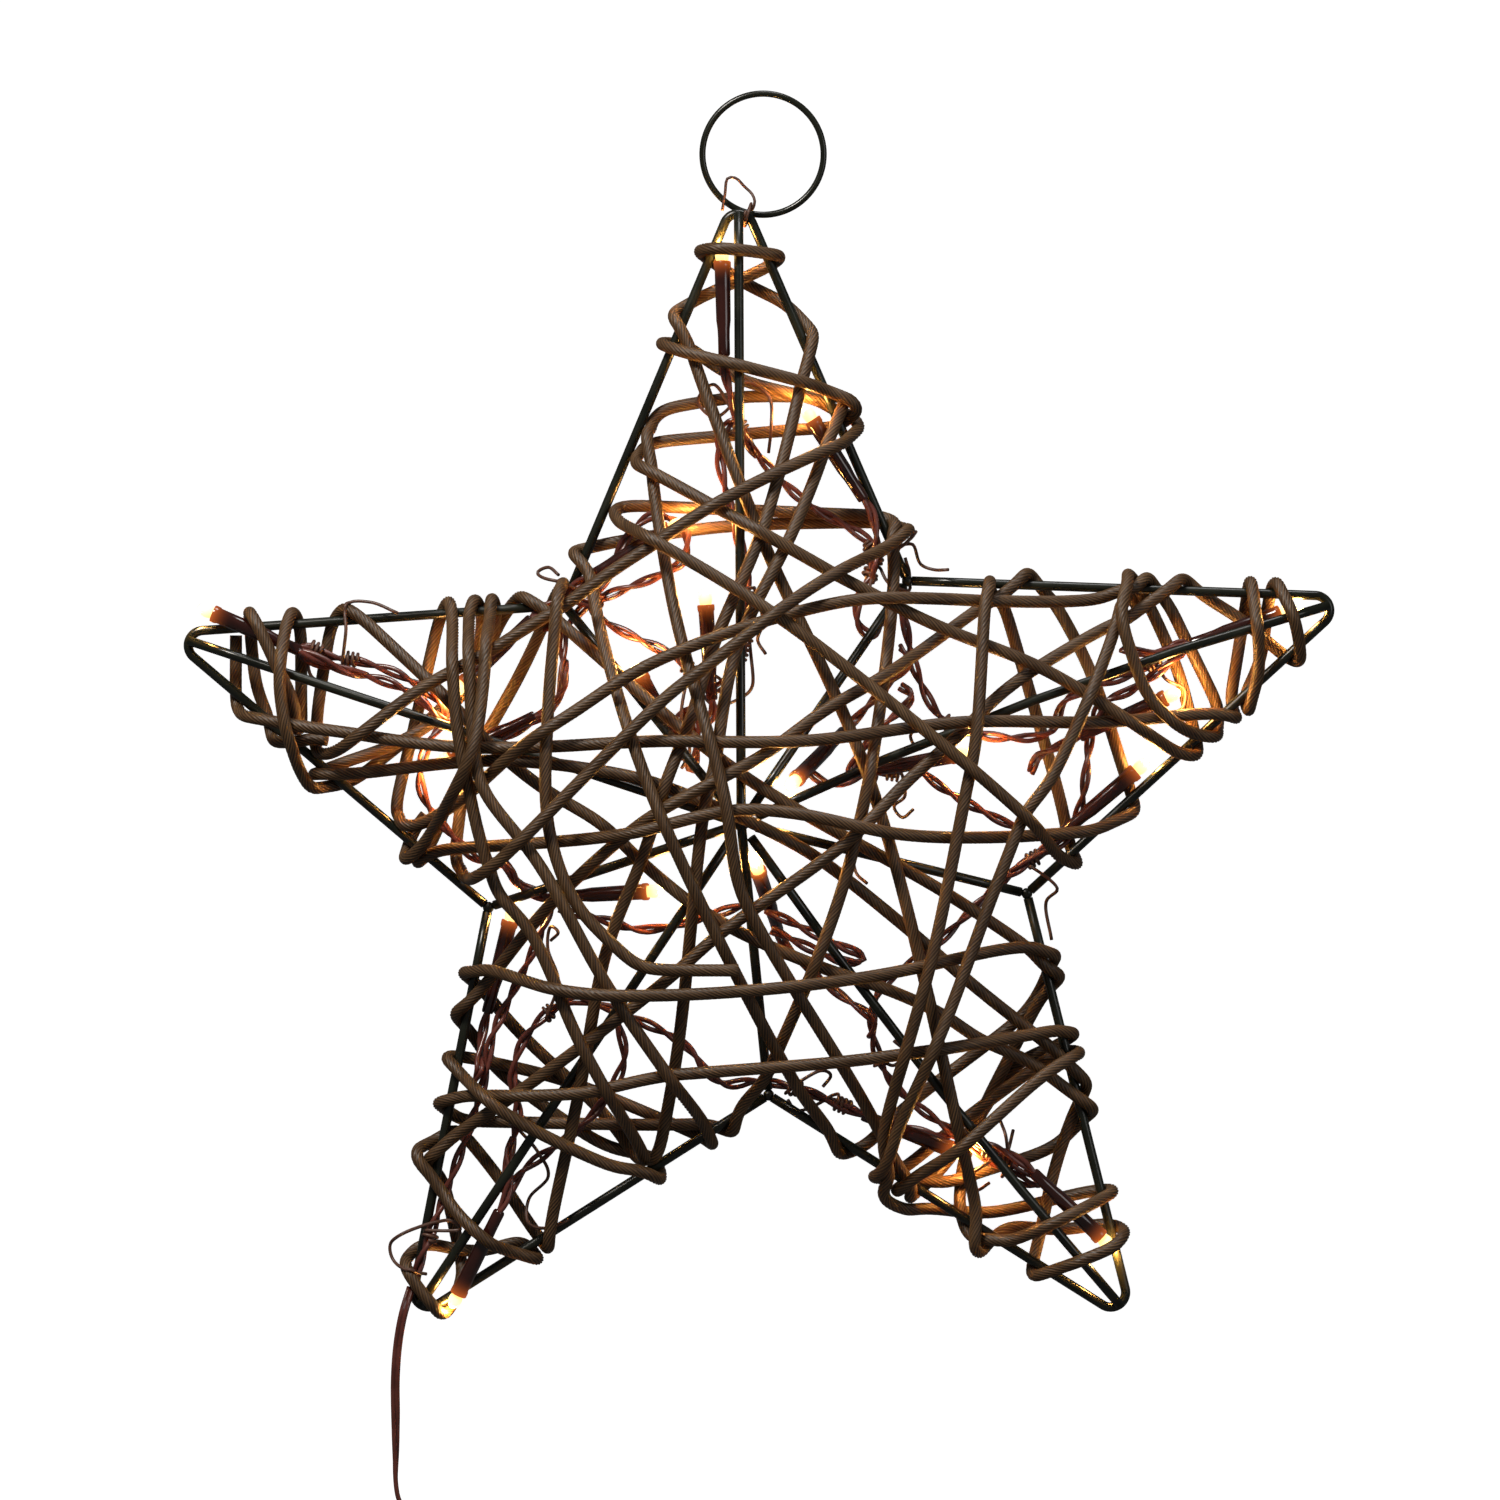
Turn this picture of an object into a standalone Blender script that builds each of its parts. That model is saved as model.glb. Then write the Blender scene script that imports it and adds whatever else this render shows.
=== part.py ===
"""Lighted star: a welded wire star wound with round rattan strand, with a light string inside.

The star hangs in the plane Y = 0 of its own group and faces -Y. Its wire outline lies in that plane and
its ribs rise to one hub in front of it. The world's origin is the inside top of the hanging ring.
"""

import math

import bmesh
import bpy
import numpy as np
from mathutils import Vector

# Wire frame
TIP_REACH = 0.221
HUB_RISE = 0.035
WIRE_DIAMETER = 0.0031
TIP_BEND_RADIUS = 0.0055

# Hanging ring and its tie
RING_WIRE_DIAMETER = 0.0024
RING_RADIUS = 0.0223
TIE_DIAMETER = 0.0011
TIE_ASIDE = 0.0002
TIE_PITCH = 0.0011
TIE_TURNS = (0.4, 2.3)

# Rattan strand
STRAND_DIAMETER = 0.0046

# Light string
CABLE_DIAMETER = 0.0034
HOLDER_LENGTH = 0.035
HOLDER_MOUTH_DIAMETER = 0.0064
HOLDER_TAIL_DIAMETER = 0.0044
HOLDER_WALL = 0.0007
SOCKET_DEPTH = 0.009
LAMP_DIAMETER = 0.0042
LAMP_PROUD = 0.0045

# Supply lead, its coil and its plug
LEAD_DIAMETER = 0.0034
COIL_RADIUS = 0.019
COIL_THICKNESS = 0.0135
COIL_ASIDE = 0.014
PLUG_WIDTH = 0.022
PLUG_LENGTH = 0.027
PLUG_THICKNESS = 0.013
RELIEF_LENGTH = 0.010
BLADE_LENGTH = 0.0155
BLADE_WIDTH = 0.0063
BLADE_THICKNESS = 0.0015
BLADE_SPACING = 0.0127

# Clearances
GAP = 0.0003
LAY_GAP = 0.0008

# How finely the routes are worked out, and how closely the solids follow them
STEP = 0.0016
FOLLOWS = 0.0012

# How far round it each place looks for others, in piece diameters, and how often it is pushed each time
LOOKS_ROUND = 1.5
PUSHES = 14

# Plan places are whole plan units, across and up from the star's centre. A tip reaches this many units.
UNITS_TO_TIP = 221
PLAN = TIP_REACH / UNITS_TO_TIP

TIPS = {
    "top": (-6, 220),
    "right": (211, 76),
    "lower_right": (134, -181),
    "lower_left": (-123, -181),
    "left": (-208, 63),
}
CORNERS = {
    "upper_right": (56, 85),
    "lower_right": (100, -30),
    "bottom": (5, -104),
    "lower_left": (-98, -35),
    "upper_left": (-70, 76),
}
HUB = (-5, -4)
RIB_BOW = {"right": -5, "lower_right": 3}
RING_CENTRE = (3, 242)

# A strand goes over the front, round the outline wire, over the back, and round again
STRANDS = {
    "first": [
        ("back", (-121, -1), (-126, -7)),
        ("round", (-126, -18)),
        ("front", (-121, -12), (-103, 21), (-99, 44), (-97, 73)),
        ("round", (-97, 78)),
        ("back", (-94, 74), (-102, 51), (-115, 36), (-130, 26), (-155, 17)),
        ("round", (-161, 15)),
        ("front", (-153, 14), (-148, 14), (-93, 19), (-49, 14), (-34, 10), (10, -9), (25, -18),
         (54, -41), (82, -65), (114, -90)),
        ("round", (123, -100)),
        ("back", (118, -109), (111, -129), (103, -164)),
        ("round", (103, -168)),
        ("front", (109, -168), (133, -159)),
        ("round", (136, -154)),
        ("back", (130, -151), (113, -154), (92, -152)),
        ("round", (84, -158)),
        ("front", (83, -152), (42, 11), (3, 99), (-20, 159), (-25, 174)),
        ("round", (-29, 182)),
        ("back", (-21, 189), (6, 201)),
        ("round", (10, 204)),
        ("front", (4, 205), (-15, 207)),
        ("round", (-20, 206)),
        ("back", (-16, 203), (-4, 195), (12, 187)),
        ("round", (22, 176)),
        ("front", (20, 168), (3, 104), (-15, 61), (-23, 35), (-33, 9), (-40, -14), (-54, -50),
         (-64, -101), (-75, -151)),
        ("round", (-78, -160)),
        ("back", (-81, -155), (-94, -135), (-110, -115)),
        ("round", (-120, -125)),
        ("front", (-116, -137), (-110, -146), (-95, -159), (-90, -161)),
        ("round", (-78, -165)),
        ("back", (-85, -157), (-102, -162), (-123, -158)),
        ("round", (-129, -165)),
        ("front", (-123, -175), (-116, -181)),
        ("round", (-112, -180)),
        ("back", (-107, -171), (-115, -133)),
        ("round", (-120, -129)),
        ("front", (-112, -120), (-71, -91), (-31, -60), (-14, -45), (34, -10), (56, 12), (74, 28),
         (93, 46), (146, 78)),
        ("round", (157, 84)),
        ("back", (169, 77), (179, 71), (195, 57)),
        ("round", (200, 55)),
        ("front", (200, 61), (197, 73), (194, 78)),
        ("round", (191, 82)),
        ("back", (189, 78), (186, 55), (178, 40)),
        ("round", (180, 35)),
        ("front", (183, 44), (185, 51), (183, 78)),
        ("round", (182, 83)),
        ("back", (181, 77), (175, 39)),
        ("round", (178, 37)),
        ("front", (173, 37), (128, 33), (76, 33), (17, 26), (-38, 26), (-76, 24), (-110, 24),
         (-170, 32)),
        ("round", (-185, 34), (-191, 37)),
        ("back", (-191, 46), (-191, 65)),
    ],
    "second": [
        ("front", (-39, -128), (-65, -81), (-78, -50), (-83, -41), (-94, -29), (-97, -21),
         (-108, 29), (-111, 73)),
        ("round", (-112, 77)),
        ("back", (-116, 72), (-133, 0)),
        ("round", (-134, -6)),
        ("front", (-125, -6), (-108, 4), (-86, 23), (-65, 37), (-42, 52), (-8, 66), (28, 76),
         (43, 78), (106, 77), (129, 78)),
        ("round", (142, 83)),
        ("back", (152, 77), (172, 37)),
        ("round", (170, 29)),
        ("front", (163, 28), (156, 31), (144, 42), (137, 60), (134, 69), (134, 78)),
        ("round", (137, 84)),
        ("back", (145, 77), (156, 51), (162, 28)),
        ("round", (163, 21)),
        ("front", (156, 21), (106, 52), (60, 71), (-44, 128)),
        ("round", (-46, 133)),
        ("back", (-40, 136), (31, 142)),
        ("round", (36, 146)),
        ("front", (27, 154), (19, 157), (-28, 169)),
        ("round", (-33, 171)),
        ("back", (-26, 173), (-16, 165), (-5, 159), (27, 151)),
        ("round", (37, 142)),
        ("front", (33, 136), (-15, 112), (-82, 68), (-122, 45), (-154, 22), (-159, 21)),
        ("round", (-165, 21)),
        ("back", (-162, 24), (-161, 37), (-156, 70)),
        ("round", (-151, 76)),
        ("front", (-144, 71), (-113, 42), (-95, 23), (-76, 8), (-56, -4), (-38, -21), (-14, -39),
         (23, -56), (47, -64), (69, -74), (82, -83), (100, -91), (116, -103)),
        ("round", (125, -110)),
        ("back", (119, -115), (111, -123), (85, -132), (69, -137), (60, -136)),
        ("round", (53, -139)),
        ("front", (56, -135), (72, -125), (106, -96), (114, -91)),
        ("round", (119, -89)),
        ("back", (113, -87), (80, -111), (54, -132)),
        ("round", (46, -133)),
        ("front", (49, -129), (51, -119), (56, -107), (69, -77), (90, -21), (100, 2), (106, 9),
         (117, 31), (131, 65), (135, 78)),
        ("round", (138, 83)),
        ("back", (141, 78), (143, 73)),
    ],
    "third": [
        ("front", (-157, 26), (-165, 28)),
        ("round", (-175, 28)),
        ("back", (-180, 38), (-183, 44), (-186, 69)),
        ("round", (-186, 74)),
        ("front", (-182, 68), (-169, 40), (-168, 30)),
        ("round", (-171, 28)),
        ("back", (-167, 28), (-167, 69)),
        ("round", (-170, 74)),
        ("front", (-172, 69), (-174, 48), (-172, 33)),
        ("round", (-171, 23), (-166, 15), (-158, 10)),
        ("back", (-148, 11), (-119, 35), (-104, 51), (-92, 74)),
        ("round", (-87, 79)),
        ("front", (-78, 75), (-5, 14), (69, -29), (104, -52)),
        ("round", (111, -61)),
        ("back", (106, -66), (78, -125), (75, -146)),
        ("round", (78, -153), (85, -157)),
        ("front", (93, -158), (127, -142)),
        ("round", (132, -139)),
        ("back", (126, -139), (85, -148), (75, -147)),
        ("round", (61, -147), (51, -142), (46, -133)),
        ("front", (47, -128), (47, -118), (65, -50), (77, 9), (80, 24), (84, 79)),
        ("round", (86, 85)),
        ("back", (91, 79), (114, -2), (116, -15)),
        ("round", (119, -19)),
        ("front", (112, -17), (99, -2), (21, 62), (-8, 82), (-51, 107)),
        ("round", (-54, 112)),
        ("back", (-49, 113), (46, 109)),
        ("round", (53, 106)),
        ("front", (50, 102), (51, 90), (47, 48), (38, -4), (28, -39), (8, -88), (3, -99),
         (-6, -108)),
        ("round", (-10, -115)),
        ("back", (-16, -114), (-23, -115), (-110, -114)),
        ("round", (-114, -108)),
        ("front", (-108, -104), (-60, -102), (-38, -97), (39, -90), (111, -80)),
        ("round", (117, -82)),
        ("back", (113, -86), (98, -92), (76, -123), (63, -138)),
        ("round", (56, -139)),
        ("front", (53, -133), (42, -110), (2, -43), (-6, -26), (-11, 6), (-29, 72), (-40, 136)),
        ("round", (-43, 142)),
        ("back", (-36, 148), (-19, 151), (-3, 153), (26, 153)),
        ("round", (34, 150)),
        ("front", (30, 143), (14, 103), (-7, 59), (-15, 15), (-18, 4), (-28, -85), (-35, -125)),
        ("round", (-37, -132)),
        ("back", (-42, -129), (-56, -111), (-89, -79), (-101, -64)),
        ("round", (-104, -59)),
        ("front", (-99, -57), (-67, -65), (-27, -66), (39, -60), (91, -50), (103, -49)),
        ("round", (110, -54)),
        ("back", (106, -65), (100, -74), (93, -80), (54, -110), (40, -124)),
        ("round", (33, -123)),
        ("front", (27, -116), (17, -103), (-35, 1), (-54, 57), (-59, 79), (-60, 88)),
        ("round", (-67, 95)),
        ("back", (-54, 99), (-12, 105), (47, 107)),
        ("round", (57, 104)),
        ("front", (50, 98), (21, 82), (-19, 52), (-31, 43), (-89, -14), (-97, -21), (-105, -25)),
        ("round", (-111, -25)),
        ("back", (-111, -20), (-100, 74)),
        ("round", (-103, 77)),
        ("front", (-105, 73), (-101, 15), (-98, 7), (-78, -19), (-53, -64), (-18, -115)),
        ("round", (-17, -120)),
        ("back", (-23, -118), (-71, -99), (-106, -90)),
        ("round", (-111, -90)),
        ("front", (-107, -97), (-91, -110), (-71, -121), (-47, -131), (-42, -130)),
        ("round", (-35, -135)),
        ("back", (-37, -127), (-53, -124), (-64, -118), (-97, -93), (-104, -81)),
        ("round", (-108, -75)),
        ("front", (-101, -66), (-75, -34), (-40, -3), (3, 21), (25, 37), (49, 51), (88, 79)),
        ("round", (100, 85)),
        ("back", (110, 78), (123, 53), (139, 5)),
        ("round", (140, 1)),
        ("front", (125, -7), (91, -9), (54, -8), (14, 0), (-8, 1), (-49, -8), (-119, -14)),
        ("round", (-125, -15)),
        ("back", (-119, -12), (-113, 4), (-87, 50), (-75, 75)),
        ("round", (-70, 84)),
        ("front", (-72, 75), (-75, 40), (-76, 7), (-74, -10), (-65, -33), (-48, -51), (-42, -56),
         (-31, -57), (-6, -57)),
    ],
}

# The place of each front pass in the pile, counted from the lowest, in the order that the strand runs
FRONT_LAYERS = {
    "first": (25, 4, 35, 6, 36, 7, 32, 40, 11, 38, 37, 12),
    "second": (23, 22, 39, 19, 18, 20, 3, 33, 28),
    "third": (1, 2, 14, 5, 34, 27, 29, 9, 17, 16, 8, 26, 15, 30, 24, 31, 10, 13, 21),
}

# The light string's cable runs inside the star from the lower left tip
CABLE_ROUTE = (
    (-126, -174), (-99, -97), (-97, -84), (-76, -32), (-86, -27), (-92, -19), (-101, -18),
    (-108, -12), (-121, 4), (-123, 14), (-120, 25), (-114, 36), (-130, 49), (-145, 54), (-158, 56),
    (-167, 61), (-164, 58), (-130, 47), (-121, 41), (-112, 32), (-101, 26), (-77, 36), (-71, 45),
    (-70, 66), (-66, 72), (-61, 77), (-35, 87), (-26, 93), (-26, 104), (-37, 109), (-46, 102),
    (-56, 82), (-59, 74), (-28, 56), (-15, 45), (-6, 56), (-3, 78), (-4, 93), (-7, 104), (-13, 137),
    (-7, 144), (-2, 135), (17, 115), (44, 97), (43, 89), (38, 78), (38, 69), (43, 65), (52, 76),
    (59, 52), (65, 39), (68, 35), (75, 30), (108, 29), (114, 41), (145, 53), (158, 62), (138, 45),
    (127, 39), (116, -8), (96, -21), (66, -49), (46, -65), (43, -76), (45, -89), (51, -100),
    (72, -117), (105, -137), (75, -121), (50, -115), (17, -102), (0, -99), (-11, -100), (-18, -95),
    (-24, -87), (-39, -78), (-66, -69), (-75, -73), (-85, -84), (-89, -97), (-87, -110),
    (-93, -137),
)

# Each lamp: the place of its holder's mouth, a place that its tail points to, and how far each of
# them stands forward of the outline, as a share of the ribs' rise there
LIGHTS = (
    ((-12, 202), (-11, 157), 0.8, 0.8),
    ((21, 144), (45, 107), 0.7, 0.6),
    ((-18, 76), (-16, 45), 0.7, 0.5),
    ((-42, 50), (-30, 28), 0.8, 0.3),
    ((-199, 73), (-171, 61), 1.0, 1.0),
    ((-112, 20), (-79, 36), 0.6, 0.5),
    ((-107, 47), (-81, 72), 0.6, 0.6),
    ((15, 12), (30, 27), 0.8, 0.1),
    ((74, 21), (42, 15), 0.7, 0.6),
    ((193, 73), (158, 61), 0.4, 0.7),
    ((151, 42), (131, 33), 0.7, 0.2),
    ((140, 15), (114, -7), 0.6, 0.6),
    ((-39, -29), (-72, -31), 0.6, 0.5),
    ((-90, -40), (-100, -80), 0.7, 0.6),
    ((1, -21), (8, -42), 0.8, 0.0),
    ((72, -124), (39, -111), 0.6, 0.6),
    ((127, -156), (103, -133), 0.7, 0.7),
    ((-109, -177), (-93, -145), 1.0, 1.0),
)

# The lead hangs from the lower left tip, outside the star
LEAD_ROUTE = (
    (-126, -175), (-129, -184), (-131, -195), (-132, -208), (-132, -225), (-132, -245), (-132, -261),
)

# The ring tie's free end, across, up and forward in plan units
TIE_END = ((0, 224, 3), (-1, 227, 2), (-4, 230, 1), (-7, 233, 1), (-10, 233, 1), (-11, 227, 1), (-12, 221, 1))

STEEL = ("coated_wire", (0.019, 0.021, 0.016), 0.42, 0.0)
RATTAN = ("rattan", (0.156, 0.091, 0.045), 0.5, 0.0)
CABLE_COAT = ("cable_coat", (0.062, 0.018, 0.013), 0.3, 0.0)
HOLDER_PLASTIC = ("holder_plastic", (0.048, 0.009, 0.006), 0.18, 0.0)
LAMP_GLASS = ("lamp_glass", (1.0, 0.72, 0.36), 0.1, 0.0)
PLUG_PLASTIC = ("plug_plastic", (0.055, 0.017, 0.012), 0.35, 0.0)


def unit(vector):
    return vector / np.linalg.norm(vector)


def plan(points):
    """Plan places in metres, (across, up)."""
    return np.array(points, float) * PLAN


def length_along(line):
    steps = np.linalg.norm(np.diff(line, axis=0), axis=1)
    return np.concatenate([[0.0], np.cumsum(steps)])


def evenly(line, step=STEP):
    """The same line with its points an even step apart."""
    along = length_along(line)
    at = np.linspace(0, along[-1], max(2, round(along[-1] / step) + 1))
    return np.stack([np.interp(at, along, column) for column in line.T], axis=1)


def between(t, start, end, a, b):
    """The straight blend from a, at start, to b, at end."""
    return ((end - t) * a + (t - start) * b) / (end - start)


def smooth(points, step=STEP):
    """A smooth curve through the points, as a centripetal Catmull-Rom spline."""
    points = np.asarray(points, float)
    if len(points) < 3:
        return evenly(points, step)
    held = np.vstack([2 * points[0] - points[1], points, 2 * points[-1] - points[-2]])
    curve = []
    for four in zip(held, held[1:], held[2:], held[3:]):
        a, b, c, d = four
        t0, t1, t2, t3 = np.cumsum([0.0] + [np.linalg.norm(q - p) ** 0.5 for p, q in zip(four, four[1:])])
        count = max(2, math.ceil(np.linalg.norm(c - b) / step) + 1)
        t = np.linspace(t1, t2, count)[:-1, None]
        first = between(t, t0, t1, a, b)
        second = between(t, t1, t2, b, c)
        third = between(t, t2, t3, c, d)
        early = between(t, t0, t2, first, second)
        late = between(t, t1, t3, second, third)
        curve.append(between(t, t1, t2, early, late))
    return evenly(np.vstack([*curve, points[-1:]]), step)


def thinned(line, within=FOLLOWS):
    """The fewest of the line's points that keep it within a distance."""
    keep = {0, len(line) - 1}
    spans = [(0, len(line) - 1)]
    while spans:
        low, high = spans.pop()
        if high - low < 2:
            continue
        chord = line[high] - line[low]
        inner = line[low + 1 : high] - line[low]
        share = np.clip(inner @ chord / max(chord @ chord, 1e-18), 0, 1)
        off = np.linalg.norm(inner - share[:, None] * chord, axis=1)
        if off.max() > within:
            middle = low + 1 + int(off.argmax())
            keep.add(middle)
            spans += [(low, middle), (middle, high)]
    return line[sorted(keep)]


def flat(line, height=0.0):
    """A plan line raised to a height, (across, up, forward)."""
    return np.column_stack([line, np.broadcast_to(height, len(line))])


def as_blocks(line, radius):
    """A line's points with the radius of the round piece along it."""
    line = evenly(line)
    return np.column_stack([line, np.broadcast_to(radius, len(line))])


# Frame


def outline_circle(tip, start, end):
    """The centre of the bend at a tip, and the direction that the tip points in."""
    tip, start, end = plan(tip), plan(start), plan(end)
    points_to = unit(tip - (start + end) / 2)
    return tip - points_to * TIP_BEND_RADIUS, points_to


def touching_angle(centre, place, points_to):
    """The bearing at which a straight leg from a place meets the bend, on the outer side of the tip."""
    away = place - centre
    bearing = math.atan2(away[1], away[0])
    spread = math.acos(TIP_BEND_RADIUS / np.linalg.norm(away))
    ahead = math.atan2(points_to[1], points_to[0])
    turns = [math.remainder(bearing + side * spread - ahead, math.tau) for side in (-1, 1)]
    return ahead + min(turns, key=abs)


def outline_wire(tip, start, end):
    """A wire from one inner corner, round a tip's bend, to the next inner corner."""
    centre, points_to = outline_circle(tip, start, end)
    first, last = plan(start), plan(end)
    from_angle = touching_angle(centre, first, points_to)
    to_angle = touching_angle(centre, last, points_to)
    bend = [
        centre + TIP_BEND_RADIUS * np.array([math.cos(angle), math.sin(angle)])
        for angle in np.linspace(from_angle, to_angle, 7)
    ]
    setback = WIRE_DIAMETER / 2 + GAP / 2
    first = first + unit(bend[0] - first) * setback
    last = last + unit(bend[-1] - last) * setback
    return flat(np.array([first, *bend, last]))


def corners_beside():
    """Each tip's name with the inner corners on its two sides."""
    corners = list(CORNERS)
    return {tip: (corners[k - 1], corners[k]) for k, tip in enumerate(TIPS)}


def rise_at(place):
    """How far the ribs' faces stand forward of the outline over a plan place."""
    rim = [p for tip, (_, corner) in corners_beside().items() for p in (TIPS[tip], CORNERS[corner])]
    hub, place = plan(HUB), np.asarray(place, float)
    for a, b in zip(rim, rim[1:] + rim[:1]):
        sides = np.column_stack([plan(a) - hub, plan(b) - hub])
        shares = np.linalg.solve(sides, place - hub)
        if shares.min() >= -1e-9:
            return HUB_RISE * max(0.0, 1 - shares.sum())
    return 0.0


def rib(name, at_tip):
    """A rib from its end on the outline to the middle of the hub."""
    end = plan(TIPS[name] if at_tip else CORNERS[name])
    hub = plan(HUB)
    inward = unit(hub - end)
    if at_tip:
        end_height = WIRE_DIAMETER + GAP
    else:
        end_height = 0.0
        end = end + inward * WIRE_DIAMETER * 0.75
    bow = RIB_BOW.get(name, 0) * PLAN if at_tip else 0.0
    sideways = np.array([-inward[1], inward[0]])
    line = []
    for share in (0.0, 0.25, 0.5, 0.75, 1.0) if bow else (0.0, 1.0):
        at = end + (hub - end) * share + sideways * bow * 4 * share * (1 - share)
        line.append([*at, end_height + (HUB_RISE - end_height) * share])
    return np.array(line)


def cut_short(line, distance):
    """A line without the last distance of its length."""
    along = length_along(line)
    kept = along < along[-1] - distance
    end = [np.interp(along[-1] - distance, along, column) for column in line.T]
    return np.vstack([line[kept], end])


def frame_wires():
    """The centre line of every wire of the frame, by its name."""
    wires = {}
    for tip, (before, after) in corners_beside().items():
        wires["outline_" + tip] = outline_wire(TIPS[tip], CORNERS[before], CORNERS[after])
    ribs = {"rib_" + tip: rib(tip, True) for tip in TIPS}
    ribs.update({"short_rib_" + corner: rib(corner, False) for corner in CORNERS})
    bearings = sorted(math.atan2(*(line[0] - line[-1])[:2]) for line in ribs.values())
    narrowest = min((b - a) % math.tau for a, b in zip(bearings, bearings[1:] + bearings[:1]))
    clear_of_hub = (WIRE_DIAMETER + GAP) / (2 * math.sin(narrowest / 2))
    spine = np.vstack([ribs.pop("rib_top"), ribs.pop("short_rib_bottom")[::-1][1:]])
    wires["spine_rib"] = spine
    wires.update({name: cut_short(line, clear_of_hub) for name, line in ribs.items()})
    return wires


def ring_places():
    """The ring's centre, and the centre of the bend that it is tied to, (across, up, forward)."""
    before, after = corners_beside()["top"]
    bend, _ = outline_circle(TIPS["top"], CORNERS[before], CORNERS[after])
    ring = plan(RING_CENTRE)
    apart = np.linalg.norm(ring - bend) - RING_RADIUS - TIP_BEND_RADIUS
    needed = (WIRE_DIAMETER + RING_WIRE_DIAMETER) / 2 + GAP
    behind = math.sqrt(max(needed**2 - apart**2, 0.0))
    return np.array([*ring, -behind]), np.array([*bend, 0.0])


def ring_line():
    centre, _ = ring_places()
    angles = np.linspace(0, math.tau, 24, endpoint=False)
    return centre + RING_RADIUS * np.column_stack([np.cos(angles), np.sin(angles), 0 * angles])


def tie_line():
    """The tie's turns round the ring and the bend where they touch, and its free end."""
    ring, bend = ring_places()
    towards = (ring - bend)[:2]
    facing = math.atan2(towards[1], towards[0])
    ahead = np.array([0.0, 0.0, 1.0])
    line = []
    for turn in np.linspace(*TIE_TURNS, 28):
        along = TIE_ASIDE + TIE_PITCH * turn
        on_bend = facing - along / TIP_BEND_RADIUS
        on_ring = facing + math.pi + along / RING_RADIUS
        low = bend + TIP_BEND_RADIUS * np.array([math.cos(on_bend), math.sin(on_bend), 0.0])
        high = ring + RING_RADIUS * np.array([math.cos(on_ring), math.sin(on_ring), 0.0])
        across = unit(high - low)
        outward = unit(ahead - across * (ahead @ across))
        radius = np.linalg.norm(high - low) / 2 + (WIRE_DIAMETER + TIE_DIAMETER) / 2 + LAY_GAP
        angle = math.tau * turn
        line.append((low + high) / 2 + radius * (math.cos(angle) * across + math.sin(angle) * outward))
    return smooth(np.vstack([line, np.array(TIE_END) * PLAN]), 0.0015)


# Laying one round piece over or under others


def clear_height(places, radius, blocks, side):
    """How far out each plan place has to stand, on one side of the star, to clear the blocks."""
    farthest = radius + blocks[:, 3].max()
    low, high = places.min(0) - farthest, places.max(0) + farthest
    near = blocks[((blocks[:, :2] > low) & (blocks[:, :2] < high)).all(1)]
    apart = ((places[:, None] - near[None, :, :2]) ** 2).sum(2)
    reach = (radius + near[:, 3]) ** 2
    height = side * near[:, 2] + np.sqrt(np.maximum(reach - apart, 0))
    height[apart >= reach] = -np.inf
    return np.concatenate([height, np.full((len(places), 1), -np.inf)], axis=1).max(1)


def pulled_tight(along, least):
    """The heights of a string stretched over the least heights."""
    hull = []
    for k in np.flatnonzero(np.isfinite(least)):
        while len(hull) > 1:
            i, j = hull[-2:]
            rise = (least[j] - least[i]) * (along[k] - along[i])
            if rise > (least[k] - least[i]) * (along[j] - along[i]):
                break
            hull.pop()
        hull.append(k)
    return np.interp(along, along[hull], least[hull])


def near_pairs(points, others, reach):
    """Which points lie within reach of which others."""
    pairs = []
    order = np.argsort(others[:, 0])
    xs = others[order, 0]
    for k, point in enumerate(points):
        low, high = np.searchsorted(xs, (point[0] - reach, point[0] + reach))
        found = order[low:high]
        found = found[((others[found, :3] - point) ** 2).sum(1) < reach**2]
        pairs.append(np.column_stack([np.full(len(found), k), found]))
    return np.vstack(pairs)


def samples_on(lines):
    """Places an even step apart on the lines: the point before each, its share of the way to the next,
    its line, and how far along the line it is."""
    before, shares, owner, along = [], [], [], []
    first = 0
    for number, line in enumerate(lines):
        at = length_along(line)
        for k in range(len(line) - 1):
            count = max(1, round((at[k + 1] - at[k]) / STEP))
            share = np.arange(count) / count
            before.append(np.full(count, first + k))
            shares.append(share)
            along.append(at[k] + (at[k + 1] - at[k]) * share)
        before.append([first + len(line) - 2])
        shares.append([1.0])
        along.append([at[-1]])
        first += len(line)
        owner.append(np.full(sum(map(len, before)) - sum(map(len, owner)), number))
    return [np.concatenate(part) for part in (before, shares, owner, along)]


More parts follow.
